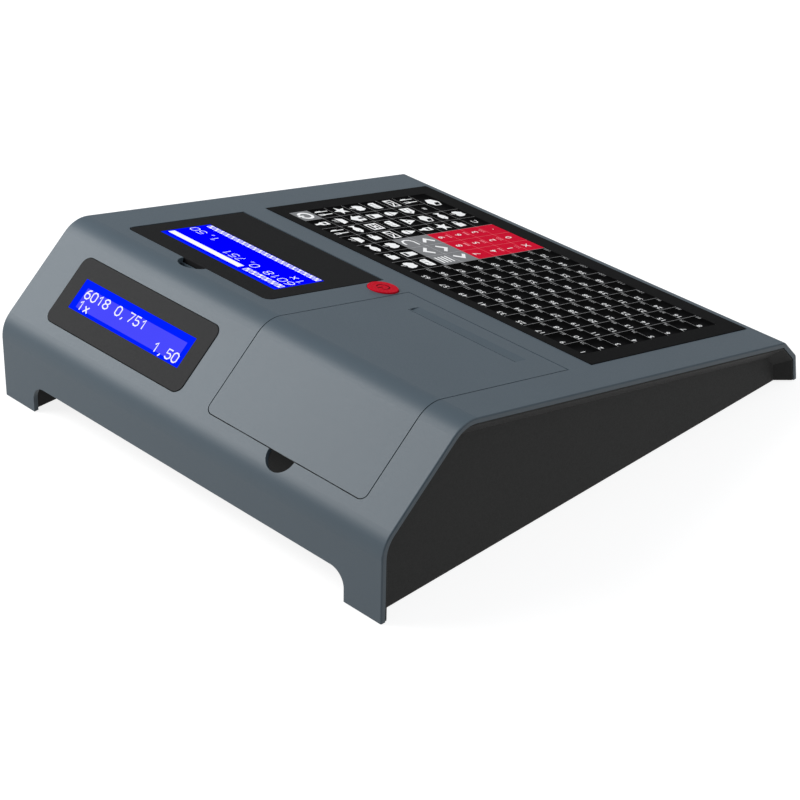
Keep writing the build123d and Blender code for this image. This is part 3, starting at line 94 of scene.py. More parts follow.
# Where the print stands on a key, in key pitches from its middle.
NUMBER_PLACE = (-0.42, 0.33)
SECOND_PLACE = (0.42, -0.40)
DIGIT_PLACE = (0.0, 0.08)
TRIPLE_PLACE = (0.0, -0.36)
PICTURE_UNITS = 20.0  # pictogram units in a key pitch
SMALL_UNITS = 21.5  # the same for the pictograms on black keys

# Outlines of the pictograms from the middle of the key, as "across,along" corners with a slash
# between outlines. An outline inside another one is a hole.
PICTURES = {
    "cup": "-6,4 3,4 2,-5 -5,-5 / 3,3 7,3 6,-2 2.4,-2 2.5,-0.6 5,-0.6 5.4,1.6 3,1.6",
    "bottle": "-1.4,8 1.4,8 1.4,4 3.4,1 3.4,-7 -3.4,-7 -3.4,1 -1.4,4 / -2.2,-1 2.2,-1 2.2,-4 "
        "-2.2,-4",
    "glass": "-5,7 5,7 3.4,-7 -3.4,-7 / -3.4,5.4 3.4,5.4 3,2 -3,2",
    "bowl": "-7,1 7,1 4,-6 -4,-6 / -2,2.4 -1,2.4 1,6 0,6 / 1.6,2.4 2.6,2.4 4.6,6 3.6,6",
    "loaf": "-7,-4 -7,2 -5,4.6 5,4.6 7,2 7,-4 / -4,3 -3,3 -4.4,-1 -5.4,-1 / 0,3 1,3 -0.4,-1 "
        "-1.4,-1 / 4,3 5,3 3.6,-1 2.6,-1",
    "slice": "-7,5 7,5 0,-8 / -3.6,3 -1.6,3 -1.6,1 -3.6,1 / 1.2,1.6 3.2,1.6 3.2,-0.4 1.2,-0.4",
    "fish": "-8,0 -4,4 1,4 5,1 8,4 8,-4 5,-1 1,-4 -4,-4 / -5,1.4 -3.6,1.4 -3.6,0 -5,0",
    "apple": "0,3 3,4.6 6,3 6,-2 3,-7 0,-6 -3,-7 -6,-2 -6,3 -3,4.6 / 0.2,4.4 3,8 1.6,8 -0.8,4.4",
    "box": "-7,3 0,6.4 7,3 7,-4 0,-7.4 -7,-4 / -6,2 -0.6,-0.6 -0.6,-5.8 -6,-3.4",
    "letter": "-8,5 8,5 8,-5 -8,-5 / -6.4,3.8 6.4,3.8 0,-0.6 / -6.6,-3.6 6.6,-3.6 6.6,2 0,-2.4 "
        "-6.6,2",
    "tag": "-7,0 -2,6 7,6 7,-6 -2,-6 / -4,1.2 -1.8,1.2 -1.8,-1.2 -4,-1.2 / 1,3 5,3 5,2 1,2 / 1,-2 "
        "5,-2 5,-3 1,-3",
    "house": "0,8 8,1 5.4,1 5.4,-7 -5.4,-7 -5.4,1 -8,1 / -1.6,-1 1.6,-1 1.6,-7.4 -1.6,-7.4",
    "star": "0,8 2.2,2.6 8,2.4 3.4,-1.2 5,-7 0,-3.6 -5,-7 -3.4,-1.2 -8,2.4 -2.2,2.6",
    "tally": "-7,7 7,7 7,-7 -7,-7 / -5,5.4 5,5.4 5,2.4 -5,2.4 / -5,0.6 -1,0.6 -1,-2 -5,-2 / 1,0.6 "
        "5,0.6 5,-2 1,-2 / -5,-3.4 5,-3.4 5,-5.4 -5,-5.4",
    "cone": "-4.6,1 4.6,1 0,-8 / -4.6,2 4.6,2 4.6,4.6 2,7.4 -2,7.4 -4.6,4.6",
    "fork": "-5,8 -4,8 -4,3 -2.6,3 -2.6,8 -1.6,8 -1.6,2 -2.6,0.4 -2.6,-8 -4,-8 -4,0.4 -5,2 / 3,8 "
        "5.4,5 5.4,-0.6 4.2,-1 4.2,-8 3,-8",
    "menu": "-6,6.6 6,6.6 6,5 -6,5 / -6,2.8 6,2.8 6,1.2 -6,1.2 / -6,-1 6,-1 6,-2.6 -6,-2.6 / "
        "-6,-4.8 6,-4.8 6,-6.4 -6,-6.4",
    "left": "3,7 5,5 0,0 5,-5 3,-7 -4.4,0",
    "right": "-3,7 -5,5 0,0 -5,-5 -3,-7 4.4,0",
    "up": "-7,-3 -5,-5 0,0 5,-5 7,-3 0,4.4",
    "down": "-7,3 -5,5 0,0 5,5 7,3 0,-4.4",
    "turn": "-6.4,-5 -6.4,-6.6 1,-6.6 5,-4.4 6.4,0 5,4.4 1,6.6 -3,6.6 -3,4.8 0.6,4.8 3.6,3.2 4.6,0 "
        "3.6,-3.2 0.6,-5",
}
FOOD = ("cup", "loaf", "bottle", "fish", "glass", "slice", "bowl", "apple", "cone", "fork")
TOOLS = ("box", "tag", "letter", "tally", "house", "star")
FOOD_STEP = (3, 4)  # along the columns and the rows
TOOL_ROWS = (2, 5)

# Display characters as strokes, written like the pictograms, on a grid four wide and six high.
STROKES = {
    "0": "1.2,0 2.8,0 4,1.2 4,4.8 2.8,6 1.2,6 0,4.8 0,1.2 1.2,0",
    "1": "0.6,4.4 2.4,6 2.4,0",
    "5": "3.8,6 0.4,6 0.2,3.2 2.8,3.6 4,2.6 4,1.2 2.8,0 1.2,0 0,0.9",
    "6": "3.4,6 1.6,5.4 0.2,3.4 0,1.2 1.2,0 2.8,0 4,1.2 4,2.4 2.8,3.6 0.3,3.4",
    "7": "0,6 4,6 1.4,0",
    "8": "2.8,3.2 4,4.4 4,5 2.8,6 1.2,6 0,5 0,4.4 1.2,3.2 2.8,3.2 4,2 4,1 2.8,0 1.2,0 0,1 0,2 "
        "1.2,3.2",
    ",": "1.6,0.7 1.4,-0.2 0.7,-1",
    "x": "0.2,0 3.6,4 / 3.6,0 0.2,4",
}
STROKE_ROWS = 6
STROKE_COLUMNS = 4
STROKE_STEP = 5.6  # from one character to the next, in grid units
STROKE_WIDE = 1.05  # width of a grid unit as a share of its height

# A lit soft key: its width, the gap after it and its two dark slots, in quarters of its height.
SOFT_WIDTH = 3.6
SOFT_GAP = 0.8
SOFT_SLOTS = (((0.5, 0.3), (1.5, 2.6)), ((2.1, 1.5), (3.1, 3.7)))

KEY_HIGHLIGHT = 5  # painted highlight: how many times lighter a black key is at the corner where its highlight is painted
# Shades of the print, as shares of the white print.
LABEL_SHADE = 0.42
RED_LABEL_SHADE = (1.0, 0.35, 0.42)
SYMBOL_SHADE = 0.25  # the symbol on the button, as a share of the button's red

# Most of a noise lies between these two values.
NOISE_LOW = 0.3
NOISE_HIGH = 0.7

FLOOR_SIDE = 40
FLOOR_SHADES = (0.23, 0.27)
FLOOR_GLOW = 0.5
FLOOR_GLOW_STRENGTH = 1.70
STUDIO_COLOUR = (0.92, 0.96, 1.0)
STUDIO_STRENGTH = 0.38
LIGHT_AIM = (0, 0, 0.05)
# Name, direction seen from the register, distance, side of the square and power of each light.
LIGHTS = (
    ("key_light", (0.64, 0.46, 0.62), 1.6, 1.1, 28.0),
    ("fill_light", (-0.45, -0.25, 0.86), 2.2, 1.6, 9.5),
)
CAMERA_PLACE = (-0.8718677, 0.8512147, 0.7378292)
CAMERA_RIGHT = (-0.70020755, -0.7139136, -0.00606288)
CAMERA_UP = (0.36955769, -0.36970252, 0.85249467)
CAMERA_LENS = 106.0038
CAMERA_SENSOR = 36.0

MADE = {}  # finishes by name, because the frame's own materials have some of the same names


class RegisterSizes(bpy.types.PropertyGroup):
    """Lengths and places of the pieces that the scene adds to the frame."""

    hinge_run: FloatProperty(
        name="Hinge from the front", default=0.1831, unit="LENGTH",
        description="From the operator's front edge up the face to the hinge line")
    hinge_depth: FloatProperty(
        name="Hinge depth", default=0.0065, unit="LENGTH",
        description="From the operator's face down to the hinge line")
    slope_front: FloatProperty(
        name="Slope's foot along Y", default=0.1737179, unit="LENGTH",
        description="Where the customer's slope starts")
    slope_height: FloatProperty(
        name="Slope's foot height", default=0.0485, unit="LENGTH",
        description="Where the customer's slope starts, above the table")
    slope_angle: FloatProperty(
        name="Slope's angle", default=math.radians(39.8), unit="ROTATION",
        description="How steeply the customer's slope rises")
    key_pitch: FloatProperty(
        name="Key pitch", default=0.0155, unit="LENGTH",
        description="From one key to the next, both ways")
    keys_rear: FloatProperty(
        name="Rear of the keys", default=0.1433, unit="LENGTH",
        description="From the operator's front edge to the rear of the keys")
    pad_side: FloatProperty(
        name="Key pad side", default=0.0150, unit="LENGTH",
        description="Width and length of one key pad")
    pad_corner: FloatProperty(
        name="Key pad corner", default=0.0004, unit="LENGTH",
        description="Radius of the corners of a key pad")
    pad_lift: FloatProperty(
        name="Key pad lift", default=0.00008, unit="LENGTH",
        description="How far a key pad stands above the lines round it")
    pad_dish: FloatProperty(
        name="Key pad dish", default=0.00002, unit="LENGTH",
        description="How far a key pad dips in its middle")
    film_top: FloatProperty(
        name="Top of the pads", default=0.0002, unit="LENGTH",
        description="How far the key pads stand above the operator's face")
    print_height: FloatProperty(
        name="Print height", default=0.00003, unit="LENGTH",
        description="Half the thickness of a printed layer")
    number_size: FloatProperty(
        name="Key numbers", default=0.0058, unit="LENGTH",
        description="Size of the numbers in the corners of the keys")
    label_size: FloatProperty(
        name="Second numbers", default=0.0036, unit="LENGTH",
        description="Size of the second numbers on the keys")
    digit_size: FloatProperty(
        name="Red key digits", default=0.0072, unit="LENGTH",
        description="Size of the digits on the red keys")
    symbol_radius: FloatProperty(
        name="Power symbol", default=0.0042, unit="LENGTH",
        description="Outer radius of the symbol on the power button")
    glass_drop: FloatProperty(
        name="Glass drop", default=0.0001, unit="LENGTH",
        description="How far a display glass lies below its frame's top")
    scoop_radius: FloatProperty(
        name="Scoop radius", default=0.0106, unit="LENGTH",
        description="Inner radius of the finger scoop behind the flap")
    scoop_wall: FloatProperty(
        name="Scoop wall", default=0.0012, unit="LENGTH",
        description="Thickness of the finger scoop's wall")
    scoop_depth: FloatProperty(
        name="Scoop depth", default=0.0016, unit="LENGTH",
        description="How deep the finger scoop is")
    cover_wall: FloatProperty(
        name="Cover wall", default=0.0030, unit="LENGTH",
        description="Thickness of the cover over the finger scoop")
    button_front: FloatProperty(
        name="Button front", default=0.1723, unit="LENGTH",
        description="From the operator's front edge to the front of the button")
    button_rear: FloatProperty(
        name="Button rear", default=0.1911, unit="LENGTH",
        description="From the operator's front edge to the rear of the button")


class RegisterColours(bpy.types.PropertyGroup):
    """Colours of the finishes, in linear light."""

    cover: FloatVectorProperty(
        name="Cover", default=(0.062, 0.086, 0.106), subtype="COLOR",
        description="Grey of the cover and the printer lid")
    base: FloatVectorProperty(
        name="Base", default=(0.0165, 0.0165, 0.0160), subtype="COLOR",
        description="Black of the tub inside the cover")
    panel: FloatVectorProperty(
        name="Operator's panel", default=(0.0125, 0.0125, 0.0127), subtype="COLOR",
        description="Black of the flap round the operator's display")
    key_frame: FloatVectorProperty(
        name="Keyboard frame", default=(0.0075, 0.0075, 0.0077), subtype="COLOR",
        description="Black of the frame round the keys")
    bezel: FloatVectorProperty(
        name="Customer's bezel", default=(0.020, 0.020, 0.0205), subtype="COLOR",
        description="Dark grey round the customer's display")
    black_keys: FloatVectorProperty(
        name="Black keys", default=(0.0014, 0.0014, 0.0015), subtype="COLOR",
        description="Black of the number keys and the pictogram keys")
    lines: FloatVectorProperty(
        name="Lines between the keys", default=(0.30, 0.30, 0.30), subtype="COLOR",
        description="Grey of the lines between black keys")
    red_lines: FloatVectorProperty(
        name="Lines between red keys", default=(0.75, 0.10, 0.13), subtype="COLOR",
        description="Pale red of these lines")
    grey_lines: FloatVectorProperty(
        name="Lines between grey keys", default=(0.42, 0.42, 0.43), subtype="COLOR",
        description="Pale grey of these lines")
    red_keys: FloatVectorProperty(
        name="Red keys", default=(0.60, 0.004, 0.028), subtype="COLOR",
        description="Red of the digit keys")
    grey_keys: FloatVectorProperty(
        name="Grey keys", default=(0.210, 0.213, 0.220), subtype="COLOR",
        description="Grey of the arrow keys and the power key")
    button: FloatVectorProperty(
        name="Power button", default=(0.50, 0.007, 0.020), subtype="COLOR",
        description="Red of the power button")
    white_print: FloatVectorProperty(
        name="White print", default=(0.90, 0.90, 0.90), subtype="COLOR",
        description="White of the numbers and the pictograms")
    screen_edge: FloatVectorProperty(
        name="Edge of the screens", default=(0.0, 0.0144, 1.0), subtype="COLOR",
        description="Blue of the unlit edge of both displays")
    customer_field: FloatVectorProperty(
        name="Customer's field", default=(0.0685, 0.0685, 1.0), subtype="COLOR",
        description="Blue of the lit field of the customer's display")
    operator_field: FloatVectorProperty(
        name="Operator's field", default=(0.0, 0.0, 1.0), subtype="COLOR",
        description="Blue of the lit field of the operator's display")


# ---------------- places
def sizes():
    return bpy.context.scene.register_sizes


def colours():
    return bpy.context.scene.register_colours


def face_matrix(origin, right, up):
    """The place of a flat face. Its X runs right, its Y up the face and its Z out of it."""
    turned = Matrix((right, up, right.cross(up))).transposed().to_4x4()
    return Matrix.Translation(origin) @ turned


def top_face():
    """The operator's face, measured from its front edge."""
    out = -Vector(joints["button_press"]["axis"])
    right = Vector((1, 0, 0))
    up = out.cross(right)
    hinge = Vector(joints["display_tilt"]["pos_m"])
    return face_matrix(hinge - up * sizes().hinge_run + out * sizes().hinge_depth, right, up)


def slope_face():
    """The customer's face, measured from its foot. Its X runs to the customer's right."""
    angle = sizes().slope_angle
    up = Vector((0, -math.cos(angle), math.sin(angle)))
    foot = Vector((0, sizes().slope_front, sizes().slope_height))
    return face_matrix(foot, Vector((-1, 0, 0)), up)


def reach(node, face):
    """Lowest and highest corner of a node in a face's own directions."""
    inside = face.inverted()
    points = [inside @ vertex.co for vertex in nodes[node].data.vertices]
    low = Vector([min(point[axis] for point in points) for axis in range(3)])
    high = Vector([max(point[axis] for point in points) for axis in range(3)])
    return low, high


def window(lens, face):
    """The clear opening over a lens, and the lens's outer face."""
    low, high = reach(lens, face)
    rim = Vector((LENS_RIM, LENS_RIM, 0))
    return low + rim, high - rim


def key_middle(column, row):
    pitch = sizes().key_pitch
    return (column + 0.5 - COLUMNS / 2) * pitch, sizes().keys_rear - (row + 0.5) * pitch


def wide_key_middle():
    (left, along), (right, _) = [key_middle(*key) for key in WIDE_KEY]
    return (left + right) / 2, along


def on_key(key, place):
    """A place on a key, given in key pitches from the key's middle."""
    across, along = key_middle(*key)
    return across + sizes().key_pitch * place[0], along + sizes().key_pitch * place[1]


def key_group(key):
    if key in RED_KEYS:
        return "red_keys"
    return "grey_keys" if key in GREY_KEYS else "key_film"


def key_picture(column, row):
    """The name of the pictogram on a key that has one."""
    if (column, row) in GREY_KEYS:
        return GREY_KEYS[column, row]
    if row in TOOL_ROWS:
        return TOOLS[(column + row) % len(TOOLS)]
    return FOOD[(column * FOOD_STEP[0] + row * FOOD_STEP[1]) % len(FOOD)]


# ---------------- outlines
def corners(text):
    """Reads outlines written as "across,along" corners, with a slash between outlines."""
    return [
        [tuple(float(part) for part in corner.split(",")) for corner in outline.split()]
        for outline in text.split("/")
    ]


def bar(low, high):
    """The outline of an upright rectangle."""
    return [(low[0], low[1]), (high[0], low[1]), (high[0], high[1]), (low[0], high[1])]


def arc_band(inner, outer, start, end, steps):
    """The outline of a part of a ring."""
    turns = [start + (end - start) * step / steps for step in range(steps + 1)]
    outside = [(outer * math.cos(turn), outer * math.sin(turn)) for turn in turns]
    inside = [(inner * math.cos(turn), inner * math.sin(turn)) for turn in reversed(turns)]
    return outside + inside


def power_symbol(outer, inner, gap, steps, half_width, foot, head):
    """A ring with a gap of some degrees at its top, and an upright bar in the gap."""
    ring = arc_band(inner, outer, math.radians(90 + gap / 2), math.radians(450 - gap / 2), steps)
    return [ring, bar((-half_width, foot), (half_width, head))]


def soft_keys(left, right, low, high):
    """Outlines of a row of lit soft keys, each with two dark slots."""
    outlines = []
    quarter = (high - low) / 4
    wide = quarter * SOFT_WIDTH
    while left + wide < right:
        outlines.append(bar((left, low), (left + wide, high)))
        for start, end in SOFT_SLOTS:
            outlines.append(bar(
                (left + quarter * start[0], low + quarter * start[1]),
                (left + quarter * end[0], low + quarter * end[1]),
            ))
        left += wide + quarter * SOFT_GAP
    return outlines


# ---------------- modelling
def deselect():
    bpy.ops.object.select_all(action="DESELECT")


def set_mode(name):
    bpy.ops.object.mode_set(mode=name)


def settle(name):
    """Names the new piece and moves its place into its mesh."""
    piece = bpy.context.object
    piece.name = name
    piece.data.name = name
    bpy.ops.object.transform_apply()
    return piece


def pick(piece, kind, wanted):
    """Opens the piece in edit mode with the wanted edges or faces selected."""
    bpy.context.view_layer.objects.active = piece
    set_mode("EDIT")
    bpy.ops.mesh.select_mode(type=kind)
    bpy.ops.mesh.select_all(action="DESELECT")
    set_mode("OBJECT")
    for item in piece.data.edges if kind == "EDGE" else piece.data.polygons:
        item.select = wanted(item)
    set_mode("EDIT")


def upright(piece):
    """A test for edges that run along Z."""
    points = piece.data.vertices

    def test(edge):
        along = points[edge.vertices[1]].co - points[edge.vertices[0]].co
        return along.xy.length < TINY and abs(along.z) > SEAM

    return test


def looks_up(face):
    return face.normal.z > UPWARD


def plain_block(name, low, high):
    deselect()
    low, high = Vector(low), Vector(high)
    bpy.ops.mesh.primitive_cube_add(size=1, location=(low + high) / 2, scale=high - low)
    return settle(name)


def round_corners(piece, corner):
    pick(piece, "EDGE", upright(piece))
    bpy.ops.mesh.bevel(offset=corner, segments=CORNER_SEGMENTS, affect="EDGES")
    set_mode("OBJECT")
    return piece


def block(name, low, high, corner):
    """A flat block with rounded corners."""
    return round_corners(plain_block(name, low, high), corner)


def key_pad(width, side, corner, thickness, dish):
    """One pad of the film: a shallow dish and rounded corners."""
    pad = plain_block("key_pad", (-width / 2, -side / 2, 0), (width / 2, side / 2, thickness))
    pick(pad, "FACE", looks_up)
    bpy.ops.mesh.inset(thickness=side * PAD_RIM, depth=0)
    bpy.ops.mesh.inset(thickness=side * PAD_SLOPE, depth=0)
    bpy.ops.transform.translate(value=(0, 0, -dish))
    set_mode("OBJECT")
    return round_corners(pad, corner)


def screen_glass(name, low, high, top):
    """The lit glass of a display, standing up in its frame."""
    low = (low.x + GLASS_GAP, low.y + GLASS_GAP, low.z)
    return block(name, low, (high.x - GLASS_GAP, high.y - GLASS_GAP, top), GLASS_CORNER)


def lit_field(name, low, high, level):
    """The brighter layer on a display glass, between two corners given along its face."""
    return block(name, (*low, level - LAYER), (*high, level + LAYER), LINE_CORNER)


def copies(source, places):
    """Copies of one piece, each with its own mesh, at the given places."""
    made = []
    for place in places:
        copy = source.copy()
        copy.data = source.data.copy()
        copy.data.transform(Matrix.Translation(Vector(place)))
        bpy.context.collection.objects.link(copy)
        made.append(copy)
    return made


def join(name, pieces):
    """One piece out of several."""
    deselect()
    for piece in pieces:
        piece.select_set(True)
    bpy.context.view_layer.objects.active = pieces[0]
    bpy.ops.object.join()
    pieces[0].name = name
    pieces[0].data.name = name
    return pieces[0]


def discard(piece):
    deselect()
    piece.select_set(True)
    bpy.ops.object.delete()


def meshed():
    """Makes the new text or flat curve a mesh and merges the seams round its faces."""
    bpy.ops.object.convert(target="MESH")
    bpy.ops.object.transform_apply()
    set_mode("EDIT")
    bpy.ops.mesh.select_all(action="SELECT")
    bpy.ops.mesh.remove_doubles(threshold=SEAM)
    set_mode("OBJECT")
    return bpy.context.object


def print_words(words, size, place, height, anchor="CENTER"):
    """Words as a thin printed layer, half sunk in what carries it."""
    deselect()
    bpy.ops.object.text_add(location=(*place, height))
    text = bpy.context.object.data
    text.body = words
    text.size = size
    text.align_x = anchor
    text.align_y = "CENTER"
    text.resolution_u = 2
    text.extrude = sizes().print_height
    return meshed()


def new_curve(place):
    """An empty curve object at a place."""
    deselect()
    bpy.ops.curve.primitive_bezier_circle_add(location=place)
    shape = bpy.context.object.data
    shape.splines.clear()
    return shape


def add_line(shape, points):
    """Adds straight runs through flat points to a curve."""
    line = shape.splines.new("POLY")
    line.points.add(len(points) - 1)
    for point, (across, along) in zip(line.points, points):
        point.co = (across, along, 0, 1)
    return line


def print_outlines(outlines, scale, place, height):
    """Filled outlines as a thin printed layer. An outline inside another is a hole."""
    shape = new_curve((*place, height))
    shape.dimensions = "2D"
    shape.fill_mode = "BOTH"
    shape.extrude = sizes().print_height
    for outline in outlines:
        points = [(across * scale, along * scale) for across, along in outline]
        add_line(shape, points).use_cyclic_u = True
    return meshed()


def print_strokes(words, height, place, level, width, anchor="LEFT"):
    """Words in strokes of one width on a fixed grid, standing on their place."""
    unit = height / STROKE_ROWS
    wide = unit * STROKE_WIDE
    across, along = place
    if anchor == "RIGHT":
        across -= (STROKE_STEP * (len(words) - 1) + STROKE_COLUMNS) * wide
    shape = new_curve((0, 0, 0))
    shape.bevel_depth = width / 2
    shape.bevel_resolution = 1
    shape.use_fill_caps = True
    for letter in words:
        for stroke in corners(STROKES[letter]) if letter != " " else ():
            add_line(shape, [(across + right * wide, along + up * unit) for right, up in stroke])
        across += STROKE_STEP * wide
    bpy.ops.object.convert(target="MESH")
    piece = bpy.context.object
    piece.scale = (1, 1, 2 * sizes().print_height / width)
    piece.location = (0, 0, level)
    bpy.ops.object.transform_apply()
    return piece


def screen_lines(left, right, upper, lower, height, level, stroke):
    """The two lines on a display: a number, and a count with a price."""
    return [
        print_strokes("6018 0,751", height, (left, upper), level, stroke),
        print_strokes("1x", height, (left, lower), level, stroke),
        print_strokes("1,50", height, (right, lower), level, stroke, "RIGHT"),
    ]


def fit(piece, face, body, material):
    """Puts a flat piece on its face, and gives it its body, material and slot."""
    piece.data.transform(face)
    piece.data.update()
    piece.data.materials.clear()
    piece.data.materials.append(material)
    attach(piece, body)
    return piece


# ---------------- finishes
def plug(tree, node, inputs):
    """Fills inputs of a node. Each gets a socket to link or a value to hold."""
    for name, value in inputs.items():
        if isinstance(value, bpy.types.NodeSocket):
            tree.links.new(value, node.inputs[name])
        else:
            node.inputs[name].default_value = value


def add_node(tree, kind, place, inputs, **settings):
    node = tree.nodes.new("ShaderNode" + kind)
    node.location = place
    for name, value in settings.items():
        setattr(node, name, value)
    plug(tree, node, inputs)
    return node


def noise(tree, coordinates, scale, detail, place):
    inputs = {"Scale": scale, "Detail": detail, "Vector": coordinates}
    return add_node(tree, "TexNoise", place, inputs).outputs["Fac"]


def mapped(tree, value, low, high, place):
    """Stretches a mask to another range."""
    inputs = {
        "From Min": NOISE_LOW, "From Max": NOISE_HIGH,
        "Value": value, "To Min": low, "To Max": high,
    }
    return add_node(tree, "MapRange", place, inputs).outputs["Result"]


def maths(tree, operation, first, second, place):
    return add_node(tree, "Math", place, {0: first, 1: second}, operation=operation).outputs[0]


def mixed(tree, low, high, factor, place):
    """A colour between two colours."""
    inputs = {"A": (*low, 1), "B": (*high, 1), "Factor": factor}
    return add_node(tree, "Mix", place, inputs, data_type="RGBA").outputs["Result"]


def scaled(colour, share):
    return [part * share for part in colour]


def bump(tree, height, distance, strength):
    inputs = {"Distance": distance, "Strength": strength, "Height": height}
    return add_node(tree, "Bump", (-250, -300), inputs).outputs["Normal"]


def moulded_skin():
    """The shared skin of moulded parts: slow mottle, fine grain and uneven gloss."""
    tree = bpy.data.node_groups.get("moulded_skin")
    if tree:
        return tree
    tree = bpy.data.node_groups.new("moulded_skin", "ShaderNodeTree")
    for side, name, kind in (
        ("INPUT", "Coordinates", "Vector"),
        ("INPUT", "Colour", "Color"),
        ("INPUT", "Mottle", "Float"),
        ("INPUT", "Grain", "Float"),
        ("INPUT", "Gloss low", "Float"),
        ("INPUT", "Gloss high", "Float"),
        ("OUTPUT", "Colour", "Color"),
        ("OUTPUT", "Roughness", "Float"),
        ("OUTPUT", "Height", "Float"),
    ):
        tree.interface.new_socket(name=name, in_out=side, socket_type="NodeSocket" + kind)
    entry = tree.nodes.new("NodeGroupInput")
    entry.location = (-900, 0)
    given = entry.outputs
    result = tree.nodes.new("NodeGroupOutput")
    result.location = (500, 0)
    slow = noise(tree, given["Coordinates"], 22.0, 3.0, (-600, 240))
    fine = noise(tree, given["Coordinates"], given["Grain"], 2.0, (-600, -120))
    least = maths(tree, "SUBTRACT", 1.0, given["Mottle"], (-600, 80))
    most = maths(tree, "ADD", 1.0, given["Mottle"], (-600, 60))
    level = mapped(tree, slow, least, most, (-300, 240))
    inputs = {0: given["Colour"], "Scale": level}
    tint = add_node(tree, "VectorMath", (0, 200), inputs, operation="SCALE")
    gloss = mapped(tree, fine, given["Gloss low"], given["Gloss high"], (0, -60))
    plug(tree, result, {"Colour": tint.outputs["Vector"], "Roughness": gloss, "Height": fine})
    return tree


def new_material(name):
    """An empty material with its shader and its Object coordinates."""
    material = bpy.data.materials.new(name)
    MADE[name] = material
    material.use_nodes = True
    tree = material.node_tree
    coordinates = add_node(tree, "TexCoord", (-900, 0), {}).outputs["Object"]
    return material, tree, tree.nodes["Principled BSDF"], coordinates


def moulded(
    name, colour, gloss, mottle=0.04, grain=1500.0, relief=0.00003, metallic=0.0, specular=0.15
):
    """A moulded or painted finish on the shared skin."""
    material, tree, shader, coordinates = new_material(name)
    skin = add_node(tree, "Group", (-550, 0), {
        "Coordinates": coordinates,
        "Colour": (*colour, 1),
        "Mottle": mottle,
        "Grain": grain,
        "Gloss low": gloss[0],
        "Gloss high": gloss[1],
    }, node_tree=moulded_skin())
    plug(tree, shader, {
        "Base Color": skin.outputs["Colour"],
        "Roughness": skin.outputs["Roughness"],
        "Metallic": metallic,
        "Specular IOR Level": specular,
        "Normal": bump(tree, skin.outputs["Height"], relief, 0.5),
    })
    return material


def key_black(name):
    """Black pads, each with a painted highlight that makes it lighter towards one corner."""
    material, tree, shader, coordinates = new_material(name)
    inside = top_face().inverted()
    pitch = sizes().key_pitch
    place = add_node(tree, "Mapping", (-720, 200), {
        "Rotation": inside.to_euler(),
        "Location": inside.translation / pitch - Vector((0, sizes().keys_rear / pitch, 0)),
        "Scale": (1 / pitch, 1 / pitch, 1 / pitch),
        "Vector": coordinates,
    })
    inputs = {0: place.outputs["Vector"]}
    cell = add_node(tree, "VectorMath", (-540, 200), inputs, operation="FRACTION")
    apart = add_node(tree, "SeparateXYZ", (-380, 200), {"Vector": cell.outputs["Vector"]})
    # painted highlight: a mask that rises towards one corner of every key
    highlight_left = mapped(tree, apart.outputs["X"], 1.0, 0.0, (-300, 320))
    highlight_rear = mapped(tree, apart.outputs["Y"], 0.0, 1.0, (-300, 60))
    corner = maths(tree, "MULTIPLY", highlight_left, highlight_rear, (-220, 200))
    black = colours().black_keys
    grain = noise(tree, coordinates, 900.0, 2.0, (-540, -200))
    plug(tree, shader, {
        # the painted highlight lightens the black towards that corner
        "Base Color": mixed(tree, black, scaled(black, KEY_HIGHLIGHT), corner, (-60, 200)),
        "Roughness": mapped(tree, grain, 0.30, 0.42, (-300, -100)),
        "Specular IOR Level": 0.001,
        "Normal": bump(tree, grain, 0.00003, 0.4),
    })
    return material


def brushed(name, colour, gloss, scale):
    """Metal with fine lines, which run along the direction with the smallest scale."""
    material, tree, shader, coordinates = new_material(name)
    inputs = {"Scale": scale, "Vector": coordinates}
    place = add_node(tree, "Mapping", (-720, 0), inputs)
    lines = noise(tree, place.outputs["Vector"], 900.0, 3.0, (-520, 0))
    plug(tree, shader, {
        "Base Color": mixed(tree, scaled(colour, 0.82), colour, lines, (-250, 120)),
        "Roughness": mapped(tree, lines, *gloss, (-250, -60)),
        "Metallic": 1.0,
        "Normal": bump(tree, lines, 0.00002, 0.4),
    })
    return material


def glowing(name, colour, spread):
    """A lit layer of a display, very slightly uneven."""
    material, tree, shader, coordinates = new_material(name)
    patch = mapped(tree, noise(tree, coordinates, 60.0, 1.0, (-600, 0)), 0.0, 1.0, (-450, -100))
    plug(tree, shader, {
        "Base Color": (0, 0, 0, 1),
        "Emission Color": mixed(tree, scaled(colour, 1 - spread), colour, patch, (-300, 0)),
        "Emission Strength": 1.0,
        "Roughness": 0.6,
        "Specular IOR Level": 0.0,
    })
    return material


def circuit_board(name):
    """Green board with copper tracks under the lacquer."""
    material, tree, shader, coordinates = new_material(name)
    tracks = add_node(tree, "TexBrick", (-520, 100), {
        "Color1": (0.010, 0.085, 0.032, 1),
        "Color2": (0.007, 0.062, 0.024, 1),
        "Mortar": (0.022, 0.150, 0.060, 1),
        "Scale": 95.0,
        "Mortar Size": 0.03,
        "Vector": coordinates,
    }, offset=0.37)
    speck = noise(tree, coordinates, 400.0, 2.0, (-520, -300))
    plug(tree, shader, {
        "Base Color": tracks.outputs["Color"],
        "Roughness": mapped(tree, speck, 0.28, 0.42, (-250, -100)),
        "Normal": bump(tree, tracks.outputs["Fac"], 0.00004, 0.3),
    })
    return material


